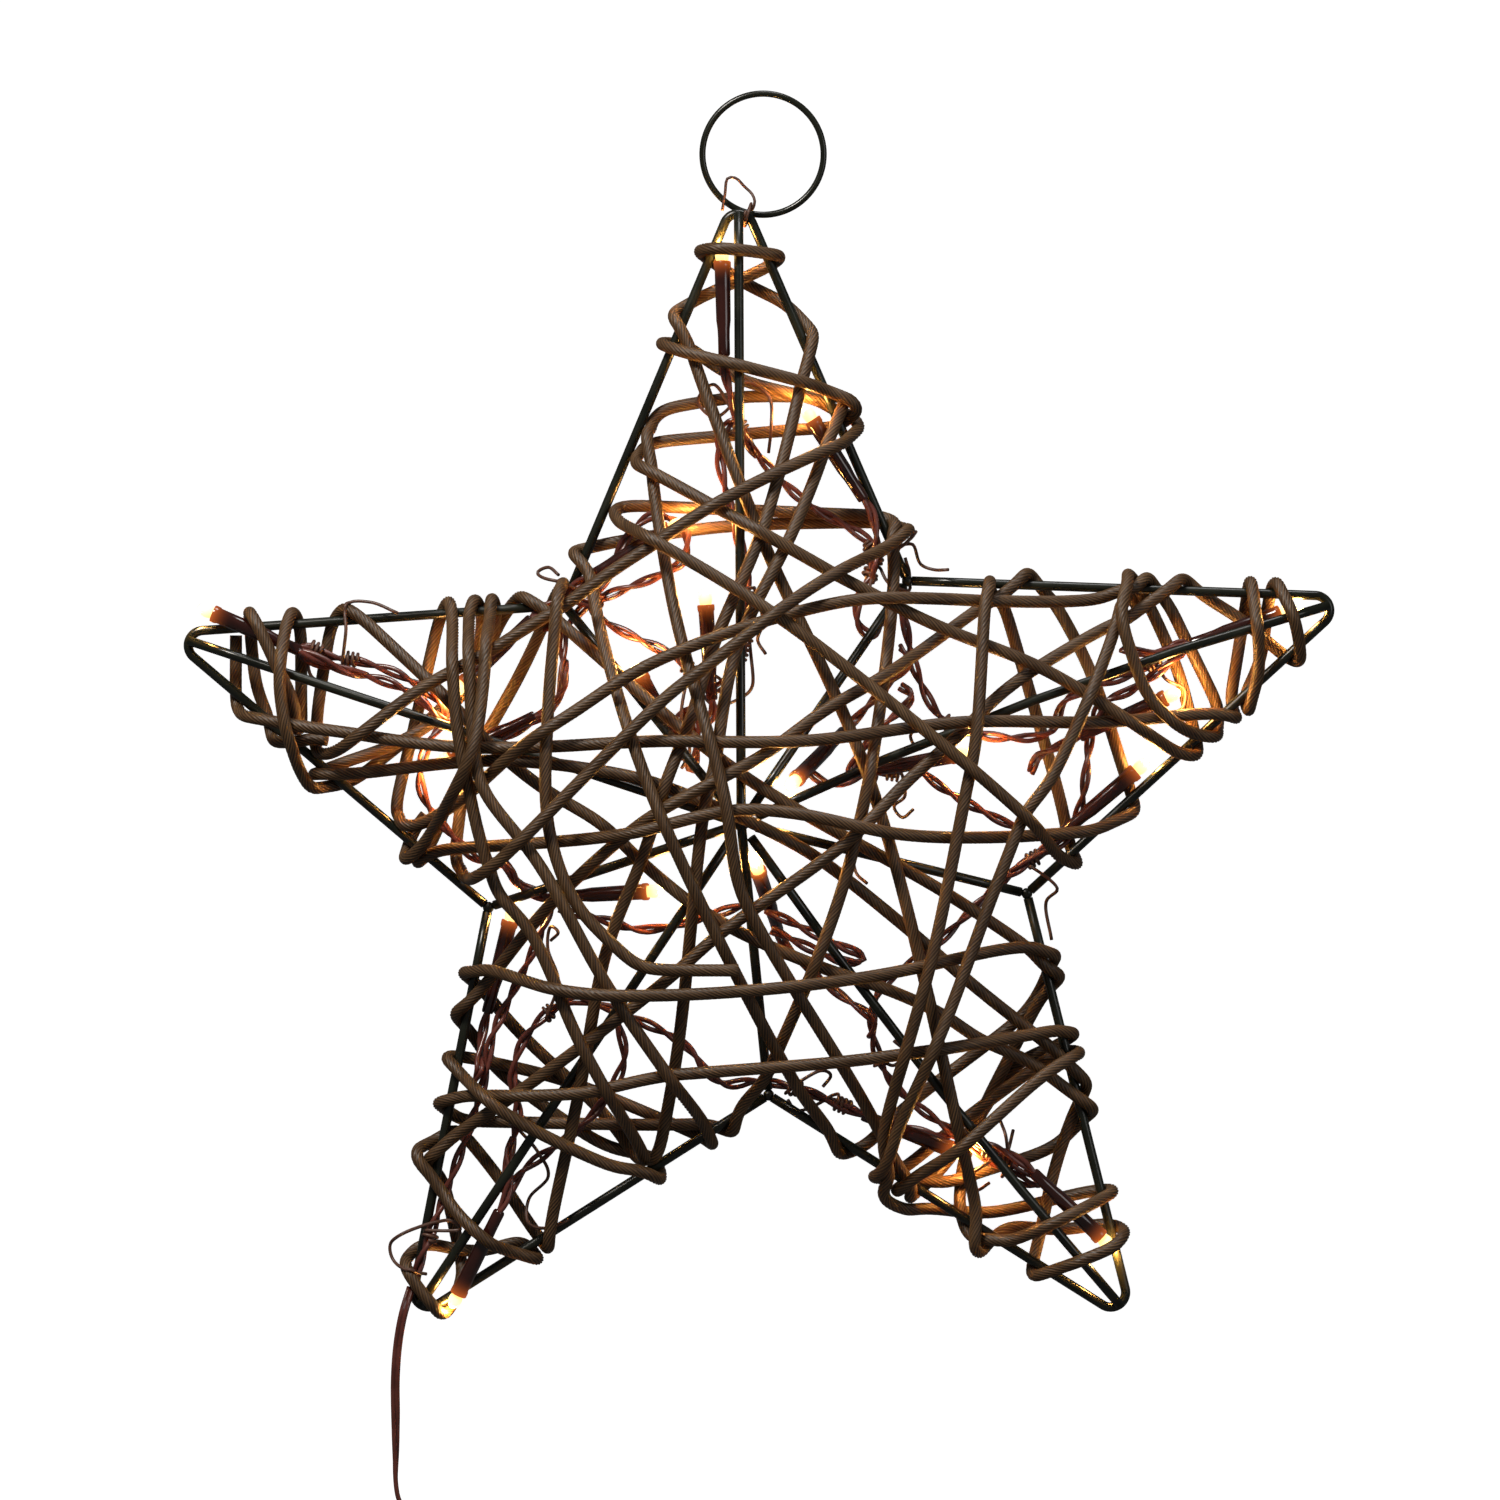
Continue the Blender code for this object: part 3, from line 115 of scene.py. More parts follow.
# A strand goes over the front, round the outline wire, over the back, and round again
STRANDS = {
    "first": [
        ("back", (-121, -1), (-126, -7)),
        ("round", (-126, -18)),
        ("front", (-121, -12), (-103, 21), (-99, 44), (-97, 73)),
        ("round", (-97, 78)),
        ("back", (-94, 74), (-102, 51), (-115, 36), (-130, 26), (-155, 17)),
        ("round", (-161, 15)),
        ("front", (-153, 14), (-148, 14), (-93, 19), (-49, 14), (-34, 10), (10, -9), (25, -18),
         (54, -41), (82, -65), (114, -90)),
        ("round", (123, -100)),
        ("back", (118, -109), (111, -129), (103, -164)),
        ("round", (103, -168)),
        ("front", (109, -168), (133, -159)),
        ("round", (136, -154)),
        ("back", (130, -151), (113, -154), (92, -152)),
        ("round", (84, -158)),
        ("front", (83, -152), (42, 11), (3, 99), (-20, 159), (-25, 174)),
        ("round", (-29, 182)),
        ("back", (-21, 189), (6, 201)),
        ("round", (10, 204)),
        ("front", (4, 205), (-15, 207)),
        ("round", (-20, 206)),
        ("back", (-16, 203), (-4, 195), (12, 187)),
        ("round", (22, 176)),
        ("front", (20, 168), (3, 104), (-15, 61), (-23, 35), (-33, 9), (-40, -14), (-54, -50),
         (-64, -101), (-75, -151)),
        ("round", (-78, -160)),
        ("back", (-81, -155), (-94, -135), (-110, -115)),
        ("round", (-120, -125)),
        ("front", (-116, -137), (-110, -146), (-95, -159), (-90, -161)),
        ("round", (-78, -165)),
        ("back", (-85, -157), (-102, -162), (-123, -158)),
        ("round", (-129, -165)),
        ("front", (-123, -175), (-116, -181)),
        ("round", (-112, -180)),
        ("back", (-107, -171), (-115, -133)),
        ("round", (-120, -129)),
        ("front", (-112, -120), (-71, -91), (-31, -60), (-14, -45), (34, -10), (56, 12), (74, 28),
         (93, 46), (146, 78)),
        ("round", (157, 84)),
        ("back", (169, 77), (179, 71), (195, 57)),
        ("round", (200, 55)),
        ("front", (200, 61), (197, 73), (194, 78)),
        ("round", (191, 82)),
        ("back", (189, 78), (186, 55), (178, 40)),
        ("round", (180, 35)),
        ("front", (183, 44), (185, 51), (183, 78)),
        ("round", (182, 83)),
        ("back", (181, 77), (175, 39)),
        ("round", (178, 37)),
        ("front", (173, 37), (128, 33), (76, 33), (17, 26), (-38, 26), (-76, 24), (-110, 24),
         (-170, 32)),
        ("round", (-185, 34), (-191, 37)),
        ("back", (-191, 46), (-191, 65)),
    ],
    "second": [
        ("front", (-39, -128), (-65, -81), (-78, -50), (-83, -41), (-94, -29), (-97, -21),
         (-108, 29), (-111, 73)),
        ("round", (-112, 77)),
        ("back", (-116, 72), (-133, 0)),
        ("round", (-134, -6)),
        ("front", (-125, -6), (-108, 4), (-86, 23), (-65, 37), (-42, 52), (-8, 66), (28, 76),
         (43, 78), (106, 77), (129, 78)),
        ("round", (142, 83)),
        ("back", (152, 77), (172, 37)),
        ("round", (170, 29)),
        ("front", (163, 28), (156, 31), (144, 42), (137, 60), (134, 69), (134, 78)),
        ("round", (137, 84)),
        ("back", (145, 77), (156, 51), (162, 28)),
        ("round", (163, 21)),
        ("front", (156, 21), (106, 52), (60, 71), (-44, 128)),
        ("round", (-46, 133)),
        ("back", (-40, 136), (31, 142)),
        ("round", (36, 146)),
        ("front", (27, 154), (19, 157), (-28, 169)),
        ("round", (-33, 171)),
        ("back", (-26, 173), (-16, 165), (-5, 159), (27, 151)),
        ("round", (37, 142)),
        ("front", (33, 136), (-15, 112), (-82, 68), (-122, 45), (-154, 22), (-159, 21)),
        ("round", (-165, 21)),
        ("back", (-162, 24), (-161, 37), (-156, 70)),
        ("round", (-151, 76)),
        ("front", (-144, 71), (-113, 42), (-95, 23), (-76, 8), (-56, -4), (-38, -21), (-14, -39),
         (23, -56), (47, -64), (69, -74), (82, -83), (100, -91), (116, -103)),
        ("round", (125, -110)),
        ("back", (119, -115), (111, -123), (85, -132), (69, -137), (60, -136)),
        ("round", (53, -139)),
        ("front", (56, -135), (72, -125), (106, -96), (114, -91)),
        ("round", (119, -89)),
        ("back", (113, -87), (80, -111), (54, -132)),
        ("round", (46, -133)),
        ("front", (49, -129), (51, -119), (56, -107), (69, -77), (90, -21), (100, 2), (106, 9),
         (117, 31), (131, 65), (135, 78)),
        ("round", (138, 83)),
        ("back", (141, 78), (143, 73)),
    ],
    "third": [
        ("front", (-157, 26), (-165, 28)),
        ("round", (-175, 28)),
        ("back", (-180, 38), (-183, 44), (-186, 69)),
        ("round", (-186, 74)),
        ("front", (-182, 68), (-169, 40), (-168, 30)),
        ("round", (-171, 28)),
        ("back", (-167, 28), (-167, 69)),
        ("round", (-170, 74)),
        ("front", (-172, 69), (-174, 48), (-172, 33)),
        ("round", (-171, 23), (-166, 15), (-158, 10)),
        ("back", (-148, 11), (-119, 35), (-104, 51), (-92, 74)),
        ("round", (-87, 79)),
        ("front", (-78, 75), (-5, 14), (69, -29), (104, -52)),
        ("round", (111, -61)),
        ("back", (106, -66), (78, -125), (75, -146)),
        ("round", (78, -153), (85, -157)),
        ("front", (93, -158), (127, -142)),
        ("round", (132, -139)),
        ("back", (126, -139), (85, -148), (75, -147)),
        ("round", (61, -147), (51, -142), (46, -133)),
        ("front", (47, -128), (47, -118), (65, -50), (77, 9), (80, 24), (84, 79)),
        ("round", (86, 85)),
        ("back", (91, 79), (114, -2), (116, -15)),
        ("round", (119, -19)),
        ("front", (112, -17), (99, -2), (21, 62), (-8, 82), (-51, 107)),
        ("round", (-54, 112)),
        ("back", (-49, 113), (46, 109)),
        ("round", (53, 106)),
        ("front", (50, 102), (51, 90), (47, 48), (38, -4), (28, -39), (8, -88), (3, -99),
         (-6, -108)),
        ("round", (-10, -115)),
        ("back", (-16, -114), (-23, -115), (-110, -114)),
        ("round", (-114, -108)),
        ("front", (-108, -104), (-60, -102), (-38, -97), (39, -90), (111, -80)),
        ("round", (117, -82)),
        ("back", (113, -86), (98, -92), (76, -123), (63, -138)),
        ("round", (56, -139)),
        ("front", (53, -133), (42, -110), (2, -43), (-6, -26), (-11, 6), (-29, 72), (-40, 136)),
        ("round", (-43, 142)),
        ("back", (-36, 148), (-19, 151), (-3, 153), (26, 153)),
        ("round", (34, 150)),
        ("front", (30, 143), (14, 103), (-7, 59), (-15, 15), (-18, 4), (-28, -85), (-35, -125)),
        ("round", (-37, -132)),
        ("back", (-42, -129), (-56, -111), (-89, -79), (-101, -64)),
        ("round", (-104, -59)),
        ("front", (-99, -57), (-67, -65), (-27, -66), (39, -60), (91, -50), (103, -49)),
        ("round", (110, -54)),
        ("back", (106, -65), (100, -74), (93, -80), (54, -110), (40, -124)),
        ("round", (33, -123)),
        ("front", (27, -116), (17, -103), (-35, 1), (-54, 57), (-59, 79), (-60, 88)),
        ("round", (-67, 95)),
        ("back", (-54, 99), (-12, 105), (47, 107)),
        ("round", (57, 104)),
        ("front", (50, 98), (21, 82), (-19, 52), (-31, 43), (-89, -14), (-97, -21), (-105, -25)),
        ("round", (-111, -25)),
        ("back", (-111, -20), (-100, 74)),
        ("round", (-103, 77)),
        ("front", (-105, 73), (-101, 15), (-98, 7), (-78, -19), (-53, -64), (-18, -115)),
        ("round", (-17, -120)),
        ("back", (-23, -118), (-71, -99), (-106, -90)),
        ("round", (-111, -90)),
        ("front", (-107, -97), (-91, -110), (-71, -121), (-47, -131), (-42, -130)),
        ("round", (-35, -135)),
        ("back", (-37, -127), (-53, -124), (-64, -118), (-97, -93), (-104, -81)),
        ("round", (-108, -75)),
        ("front", (-101, -66), (-75, -34), (-40, -3), (3, 21), (25, 37), (49, 51), (88, 79)),
        ("round", (100, 85)),
        ("back", (110, 78), (123, 53), (139, 5)),
        ("round", (140, 1)),
        ("front", (125, -7), (91, -9), (54, -8), (14, 0), (-8, 1), (-49, -8), (-119, -14)),
        ("round", (-125, -15)),
        ("back", (-119, -12), (-113, 4), (-87, 50), (-75, 75)),
        ("round", (-70, 84)),
        ("front", (-72, 75), (-75, 40), (-76, 7), (-74, -10), (-65, -33), (-48, -51), (-42, -56),
         (-31, -57), (-6, -57)),
    ],
}

# The place of each front pass in the pile, counted from the lowest, in the order that the strand runs
FRONT_LAYERS = {
    "first": (25, 4, 35, 6, 36, 7, 32, 40, 11, 38, 37, 12),
    "second": (23, 22, 39, 19, 18, 20, 3, 33, 28),
    "third": (1, 2, 14, 5, 34, 27, 29, 9, 17, 16, 8, 26, 15, 30, 24, 31, 10, 13, 21),
}

# The light string's cable runs inside the star from the lower left tip
CABLE_ROUTE = (
    (-126, -174), (-99, -97), (-97, -84), (-76, -32), (-86, -27), (-92, -19), (-101, -18),
    (-108, -12), (-121, 4), (-123, 14), (-120, 25), (-114, 36), (-130, 49), (-145, 54), (-158, 56),
    (-167, 61), (-164, 58), (-130, 47), (-121, 41), (-112, 32), (-101, 26), (-77, 36), (-71, 45),
    (-70, 66), (-66, 72), (-61, 77), (-35, 87), (-26, 93), (-26, 104), (-37, 109), (-46, 102),
    (-56, 82), (-59, 74), (-28, 56), (-15, 45), (-6, 56), (-3, 78), (-4, 93), (-7, 104), (-13, 137),
    (-7, 144), (-2, 135), (17, 115), (44, 97), (43, 89), (38, 78), (38, 69), (43, 65), (52, 76),
    (59, 52), (65, 39), (68, 35), (75, 30), (108, 29), (114, 41), (145, 53), (158, 62), (138, 45),
    (127, 39), (116, -8), (96, -21), (66, -49), (46, -65), (43, -76), (45, -89), (51, -100),
    (72, -117), (105, -137), (75, -121), (50, -115), (17, -102), (0, -99), (-11, -100), (-18, -95),
    (-24, -87), (-39, -78), (-66, -69), (-75, -73), (-85, -84), (-89, -97), (-87, -110),
    (-93, -137),
)

# Each lamp: the place of its holder's mouth, a place that its tail points to, and how far forward of the
# outline each of the two stands, as a share of the ribs' rise there
LIGHTS = (
    ((-12, 202), (-11, 157), 0.8, 0.8),
    ((21, 144), (45, 107), 0.7, 0.6),
    ((-18, 76), (-16, 45), 0.7, 0.5),
    ((-42, 50), (-30, 28), 0.8, 0.3),
    ((-199, 73), (-171, 61), 1.0, 1.0),
    ((-112, 20), (-79, 36), 0.6, 0.5),
    ((-107, 47), (-81, 72), 0.6, 0.6),
    ((15, 12), (30, 27), 0.8, 0.1),
    ((74, 21), (42, 15), 0.7, 0.6),
    ((193, 73), (158, 61), 0.4, 0.7),
    ((151, 42), (131, 33), 0.7, 0.2),
    ((140, 15), (114, -7), 0.6, 0.6),
    ((-39, -29), (-72, -31), 0.6, 0.5),
    ((-90, -40), (-100, -80), 0.7, 0.6),
    ((1, -21), (8, -42), 0.8, 0.0),
    ((72, -124), (39, -111), 0.6, 0.6),
    ((127, -156), (103, -133), 0.7, 0.7),
    ((-109, -177), (-93, -145), 1.0, 1.0),
)

# A lamp behind a strand: only its light on the cable beside it can be seen
HIDDEN_LIGHT = ((-31, 104), (-58, 88), 0.3, 0.2)

# Further stretches of cable that show between the strands
LOOSE_CABLES = (
    ((-72, -36), (-57, -39), (-42, -43), (-24, -40), (-4, -34)),
    ((4, -34), (17, -42), (31, -49), (40, -54), (31, -54), (6, -43)),
    ((61, 15), (70, 8), (90, -3), (97, -6)),
    ((17, 17), (28, 10), (42, 15), (53, 14)),
    ((-50, -76), (-48, -91), (-57, -108), (-68, -119), (-86, -132), (-92, -139)),
)

# Each twist tie: a place on the cable, its turns round it, and the places of its free end
TWIST_TIES = (
    ((-7, 144), 2.5, ((-15, 157), (-21, 151), (-15, 145), (-8, 150), (-4, 158), (5, 153),
                      (6, 142), (5, 132))),
    ((46, 104), 3.2, ((57, 99), (61, 91), (66, 89), (71, 89))),
    ((44, 97), 2.2, ((55, 99), (58, 104))),
    ((43, 89), 2.0, ((42, 82), (40, 77))),
    ((43, 94), 1.8, ((49, 84), (56, 82), (54, 93))),
    ((-61, 77), 3.0, ((-74, 84), (-80, 88), (-76, 90), (-72, 87))),
    ((-6, 56), 4.5, ((-1, 46), (-7, 41), (-15, 39), (-20, 46), (-15, 50), (-9, 45))),
    ((-3, 78), 2.4, ((3, 70), (1, 63), (4, 58))),
    ((-75, -73), 2.0, ((-72, -62), (-76, -50), (-75, -42), (-72, -44), (-75, -47))),
    ((40, 14), 2.2, ((38, 0), (36, -12), (37, -22), (41, -26))),
    ((53, 14), 2.6, ((55, 6), (51, 2), (54, -2), (58, 1))),
    ((68, 35), 3.0, ((62, 32), (57, 28), (60, 23), (64, 27))),
    ((104, -16), 3.0, ((111, -28), (107, -33), (109, -47))),
    ((145, 53), 2.6, ((151, 49), (158, 45), (157, 38), (151, 37), (148, 43))),
    ((84, -124), 2.4, ((82, -131), (77, -135), (81, -139), (86, -136))),
    ((90, -128), 2.2, ((92, -119), (90, -113))),
    ((94, -131), 1.6, ((93, -124), (95, -117))),
    ((17, -102), 2.8, ((24, -95), (28, -97), (25, -101))),
    ((34, -109), 3.4, ((24, -107), (15, -110), (12, -106))),
    ((-87, -110), 2.4, ((-80, -124), (-76, -134), (-83, -142), (-83, -151), (-74, -153), (-68, -150))),
    ((-146, 54), 3.0, ((-150, 66), (-149, 76), (-141, 77), (-131, 73))),
    ((-160, 57), 2.6, ((-163, 50), (-157, 47))),
    ((-25, 54), 2.2, ((-27, 35), (-24, 22), (-27, 16))),
    ((45, -89), 2.6, ((51, -93), (55, -88), (51, -84))),
    ((-118, -158), 2.0, ((-108, -153), (-112, -150), (-119, -151), (-130, -155), (-134, -159), (-133, -164),
                         (-127, -169), (-121, -170))),
)

# The ring tie's free end, across, up and forward in plan units
TIE_END = (
    (0, 224, 3), (-1, 227, 2), (-4, 230, 1), (-7, 233, 1), (-10, 233, 1), (-11, 227, 1), (-12, 221, 1),
)

# %% [markdown]
# ## Lines
#
# Every strand and wire follows a line. A given list of places is turned into a smooth curve that
# goes through each of them. Blender's own curves would do for one wire, but the strands have to be laid
# on each other, so the lines are kept as plain lists of points that can be measured and moved.

# %% Helpers for lines
def unit(vector):
    return vector / np.linalg.norm(vector)


def plan(points):
    """Plan places in metres, (across, up)."""
    return np.array(points, float) * PLAN


def length_along(line):
    steps = np.linalg.norm(np.diff(line, axis=0), axis=1)
    return np.concatenate([[0.0], np.cumsum(steps)])


def evenly(line, step=STEP):
    """The same line with its points an even step apart."""
    along = length_along(line)
    at = np.linspace(0, along[-1], max(2, round(along[-1] / step) + 1))
    return np.stack([np.interp(at, along, column) for column in line.T], axis=1)


def between(t, start, end, a, b):
    """The straight blend from a, at start, to b, at end."""
    return ((end - t) * a + (t - start) * b) / (end - start)


def smooth(points, step=STEP):
    """A smooth curve through the points, as a centripetal Catmull-Rom spline."""
    points = np.asarray(points, float)
    if len(points) < 3:
        return evenly(points, step)
    held = np.vstack([2 * points[0] - points[1], points, 2 * points[-1] - points[-2]])
    curve = []
    for four in zip(held, held[1:], held[2:], held[3:]):
        a, b, c, d = four
        t0, t1, t2, t3 = np.cumsum([0.0] + [np.linalg.norm(q - p) ** 0.5 for p, q in zip(four, four[1:])])
        count = max(2, math.ceil(np.linalg.norm(c - b) / step) + 1)
        t = np.linspace(t1, t2, count)[:-1, None]
        first = between(t, t0, t1, a, b)
        second = between(t, t1, t2, b, c)
        third = between(t, t2, t3, c, d)
        early = between(t, t0, t2, first, second)
        late = between(t, t1, t3, second, third)
        curve.append(between(t, t1, t2, early, late))
    return evenly(np.vstack([*curve, points[-1:]]), step)


def thinned_at(line, within):
    """Which of the line's points keep it within a distance."""
    keep = {0, len(line) - 1}
    spans = [(0, len(line) - 1)]
    while spans:
        low, high = spans.pop()
        if high - low < 2:
            continue
        chord = line[high] - line[low]
        inner = line[low + 1 : high] - line[low]
        share = np.clip(inner @ chord / max(chord @ chord, 1e-18), 0, 1)
        off = np.linalg.norm(inner - share[:, None] * chord, axis=1)
        if off.max() > within:
            middle = low + 1 + int(off.argmax())
            keep.add(middle)
            spans += [(low, middle), (middle, high)]
    return sorted(keep)


def flat(line, height=0.0):
    """A plan line raised to a height, (across, up, forward)."""
    return np.column_stack([line, np.broadcast_to(height, len(line))])


def as_blocks(line, radius):
    """A line's points with the radius of the round piece along it."""
    line = evenly(line)
    return np.column_stack([line, np.broadcast_to(radius, len(line))])


# %% [markdown]
# ## The wire frame
#
# The outline is five bent wires, one for each point, welded where they meet. Ribs run from the points
# and from the inner corners to a hub that stands forward, so the front is a shallow five-sided dome and
# the back is flat. The lines come first, because everything else rests on them.

# %% Lines of the frame
def outline_circle(tip, start, end):
    """The centre of the bend at a tip, and the direction that the tip points in."""
    tip, start, end = plan(tip), plan(start), plan(end)
    points_to = unit(tip - (start + end) / 2)
    return tip - points_to * TIP_BEND_RADIUS, points_to


def touching_angle(centre, place, points_to):
    """The bearing at which a straight leg from a place meets the bend, on the outer side of the tip."""
    away = place - centre
    bearing = math.atan2(away[1], away[0])
    spread = math.acos(TIP_BEND_RADIUS / np.linalg.norm(away))
    ahead = math.atan2(points_to[1], points_to[0])
    turns = [math.remainder(bearing + side * spread - ahead, math.tau) for side in (-1, 1)]
    return ahead + min(turns, key=abs)


def outline_wire(tip, start, end):
    """A wire from one inner corner, round a tip's bend, to the next inner corner."""
    centre, points_to = outline_circle(tip, start, end)
    first, last = plan(start), plan(end)
    from_angle = touching_angle(centre, first, points_to)
    to_angle = touching_angle(centre, last, points_to)
    bend = [
        centre + TIP_BEND_RADIUS * np.array([math.cos(angle), math.sin(angle)])
        for angle in np.linspace(from_angle, to_angle, 25)
    ]
    setback = WIRE_DIAMETER / 2 + GAP / 2
    first = first + unit(bend[0] - first) * setback
    last = last + unit(bend[-1] - last) * setback
    return flat(np.array([first, *bend, last]))


def corners_beside():
    """Each tip's name with the inner corners on its two sides."""
    corners = list(CORNERS)
    return {tip: (corners[k - 1], corners[k]) for k, tip in enumerate(TIPS)}


def rise_at(place):
    """How far the ribs' faces stand forward of the outline over a plan place."""
    rim = [p for tip, (_, corner) in corners_beside().items() for p in (TIPS[tip], CORNERS[corner])]
    hub, place = plan(HUB), np.asarray(place, float)
    for a, b in zip(rim, rim[1:] + rim[:1]):
        sides = np.column_stack([plan(a) - hub, plan(b) - hub])
        shares = np.linalg.solve(sides, place - hub)
        if shares.min() >= -1e-9:
            return HUB_RISE * max(0.0, 1 - shares.sum())
    return 0.0


def rib(name, at_tip):
    """A rib from its end on the outline to the middle of the hub."""
    end = plan(TIPS[name] if at_tip else CORNERS[name])
    hub = plan(HUB)
    inward = unit(hub - end)
    if at_tip:
        end_height = WIRE_DIAMETER + GAP
    else:
        end_height = 0.0
        end = end + inward * WIRE_DIAMETER * 0.75
    bow = RIB_BOW.get(name, 0) * PLAN if at_tip else 0.0
    sideways = np.array([-inward[1], inward[0]])
    line = []
    for share in (0.0, 0.25, 0.5, 0.75, 1.0) if bow else (0.0, 1.0):
        at = end + (hub - end) * share + sideways * bow * 4 * share * (1 - share)
        line.append([*at, end_height + (HUB_RISE - end_height) * share])
    return np.array(line)


def cut_short(line, distance):
    """A line without the last distance of its length."""
    along = length_along(line)
    kept = along < along[-1] - distance
    end = [np.interp(along[-1] - distance, along, column) for column in line.T]
    return np.vstack([line[kept], end])


def frame_wires():
    """The centre line of every wire of the frame, by its name."""
    wires = {}
    for tip, (before, after) in corners_beside().items():
        wires["outline_" + tip] = outline_wire(TIPS[tip], CORNERS[before], CORNERS[after])
    ribs = {"rib_" + tip: rib(tip, True) for tip in TIPS}
    ribs.update({"short_rib_" + corner: rib(corner, False) for corner in CORNERS})
    bearings = sorted(math.atan2(*(line[0] - line[-1])[:2]) for line in ribs.values())
    narrowest = min((b - a) % math.tau for a, b in zip(bearings, bearings[1:] + bearings[:1]))
    clear_of_hub = (WIRE_DIAMETER + GAP) / (2 * math.sin(narrowest / 2))
    spine = np.vstack([ribs.pop("rib_top"), ribs.pop("short_rib_bottom")[::-1][1:]])
    wires["spine_rib"] = spine
    wires.update({name: cut_short(line, clear_of_hub) for name, line in ribs.items()})
    return wires


def ring_places():
    """The ring's centre, and the centre of the bend that it is tied to, (across, up, forward)."""
    before, after = corners_beside()["top"]
    bend, _ = outline_circle(TIPS["top"], CORNERS[before], CORNERS[after])
    ring = plan(RING_CENTRE)
    apart = np.linalg.norm(ring - bend) - RING_RADIUS - TIP_BEND_RADIUS
    needed = (WIRE_DIAMETER + RING_WIRE_DIAMETER) / 2 + GAP
    behind = math.sqrt(max(needed**2 - apart**2, 0.0))
    return np.array([*ring, -behind]), np.array([*bend, 0.0])


def ring_line(count):
    centre, _ = ring_places()
    angles = np.linspace(0, math.tau, count, endpoint=False)
    return centre + RING_RADIUS * np.column_stack([np.cos(angles), np.sin(angles), 0 * angles])


def tie_line():
    """The tie's turns round the ring and the bend where they touch, and its free end."""
    ring, bend = ring_places()
    towards = (ring - bend)[:2]
    facing = math.atan2(towards[1], towards[0])
    ahead = np.array([0.0, 0.0, 1.0])
    line = []
    for turn in np.linspace(*TIE_TURNS, 28):
        along = TIE_ASIDE + TIE_PITCH * turn
        on_bend = facing - along / TIP_BEND_RADIUS
        on_ring = facing + math.pi + along / RING_RADIUS
        low = bend + TIP_BEND_RADIUS * np.array([math.cos(on_bend), math.sin(on_bend), 0.0])
        high = ring + RING_RADIUS * np.array([math.cos(on_ring), math.sin(on_ring), 0.0])
        across = unit(high - low)
        outward = unit(ahead - across * (ahead @ across))
        radius = np.linalg.norm(high - low) / 2 + (WIRE_DIAMETER + TIE_DIAMETER) / 2 + LAY_GAP
        angle = math.tau * turn
        line.append((low + high) / 2 + radius * (math.cos(angle) * across + math.sin(angle) * outward))
    return smooth(np.vstack([line, np.array(TIE_END) * PLAN]), 0.0015)


wires = frame_wires()
ring_centre, bend_centre = ring_places()
ORIGIN = np.array([-ring_centre[0], ring_centre[2], -(ring_centre[1] + RING_RADIUS - RING_WIRE_DIAMETER / 2)])


def to_world(line):
    """Places (across, up, forward) from the star's centre, as Blender's x, y, z from the ring."""
    line = np.atleast_2d(np.asarray(line, float))
    return np.column_stack([line[:, 0], -line[:, 2], line[:, 1]]) + ORIGIN


print("frame wires", len(wires), "star centre at", ORIGIN.round(4))

# %% [markdown]
# ## Laying one piece on another
#
# A strand that crosses a wire rests on it. These helpers find how high each place of a line has to
# stand to clear what lies under it, pull the line tight over those heights, and push apart any two
# lines that come too close.

# %% Helpers for laying
def clear_height(places, radius, blocks, side):
    """How far out each plan place has to stand, on one side of the star, to clear the blocks."""
    farthest = radius + blocks[:, 3].max()
    low, high = places.min(0) - farthest, places.max(0) + farthest
    near = blocks[((blocks[:, :2] > low) & (blocks[:, :2] < high)).all(1)]
    apart = ((places[:, None] - near[None, :, :2]) ** 2).sum(2)
    reach = (radius + near[:, 3]) ** 2
    height = side * near[:, 2] + np.sqrt(np.maximum(reach - apart, 0))
    height[apart >= reach] = -np.inf
    return np.concatenate([height, np.full((len(places), 1), -np.inf)], axis=1).max(1)


def pulled_tight(along, least):
    """The heights of a string stretched over the least heights."""
    hull = []
    for k in np.flatnonzero(np.isfinite(least)):
        while len(hull) > 1:
            i, j = hull[-2:]
            rise = (least[j] - least[i]) * (along[k] - along[i])
            if rise > (least[k] - least[i]) * (along[j] - along[i]):
                break
            hull.pop()
        hull.append(k)
    return np.interp(along, along[hull], least[hull])


def near_pairs(points, others, reach):
    """Which points lie within reach of which others."""
    pairs = []
    order = np.argsort(others[:, 0])
    xs = others[order, 0]
    for k, point in enumerate(points):
        low, high = np.searchsorted(xs, (point[0] - reach, point[0] + reach))
        found = order[low:high]
        found = found[((others[found, :3] - point) ** 2).sum(1) < reach**2]
        pairs.append(np.column_stack([np.full(len(found), k), found]))
    return np.vstack(pairs)


def samples_on(lines):
    """Places an even step apart on the lines: the point before each, its share of the way to the next,
    its line, and how far along the line it is."""
    before, shares, owner, along = [], [], [], []
    first = 0
    for number, line in enumerate(lines):
        at = length_along(line)
        for k in range(len(line) - 1):
            count = max(1, round((at[k + 1] - at[k]) / STEP))
            share = np.arange(count) / count
            before.append(np.full(count, first + k))
            shares.append(share)
            along.append(at[k] + (at[k + 1] - at[k]) * share)
        before.append([first + len(line) - 2])
        shares.append([1.0])
        along.append([at[-1]])
        first += len(line)
        owner.append(np.full(sum(map(len, before)) - sum(map(len, owner)), number))
    return [np.concatenate(part) for part in (before, shares, owner, along)]


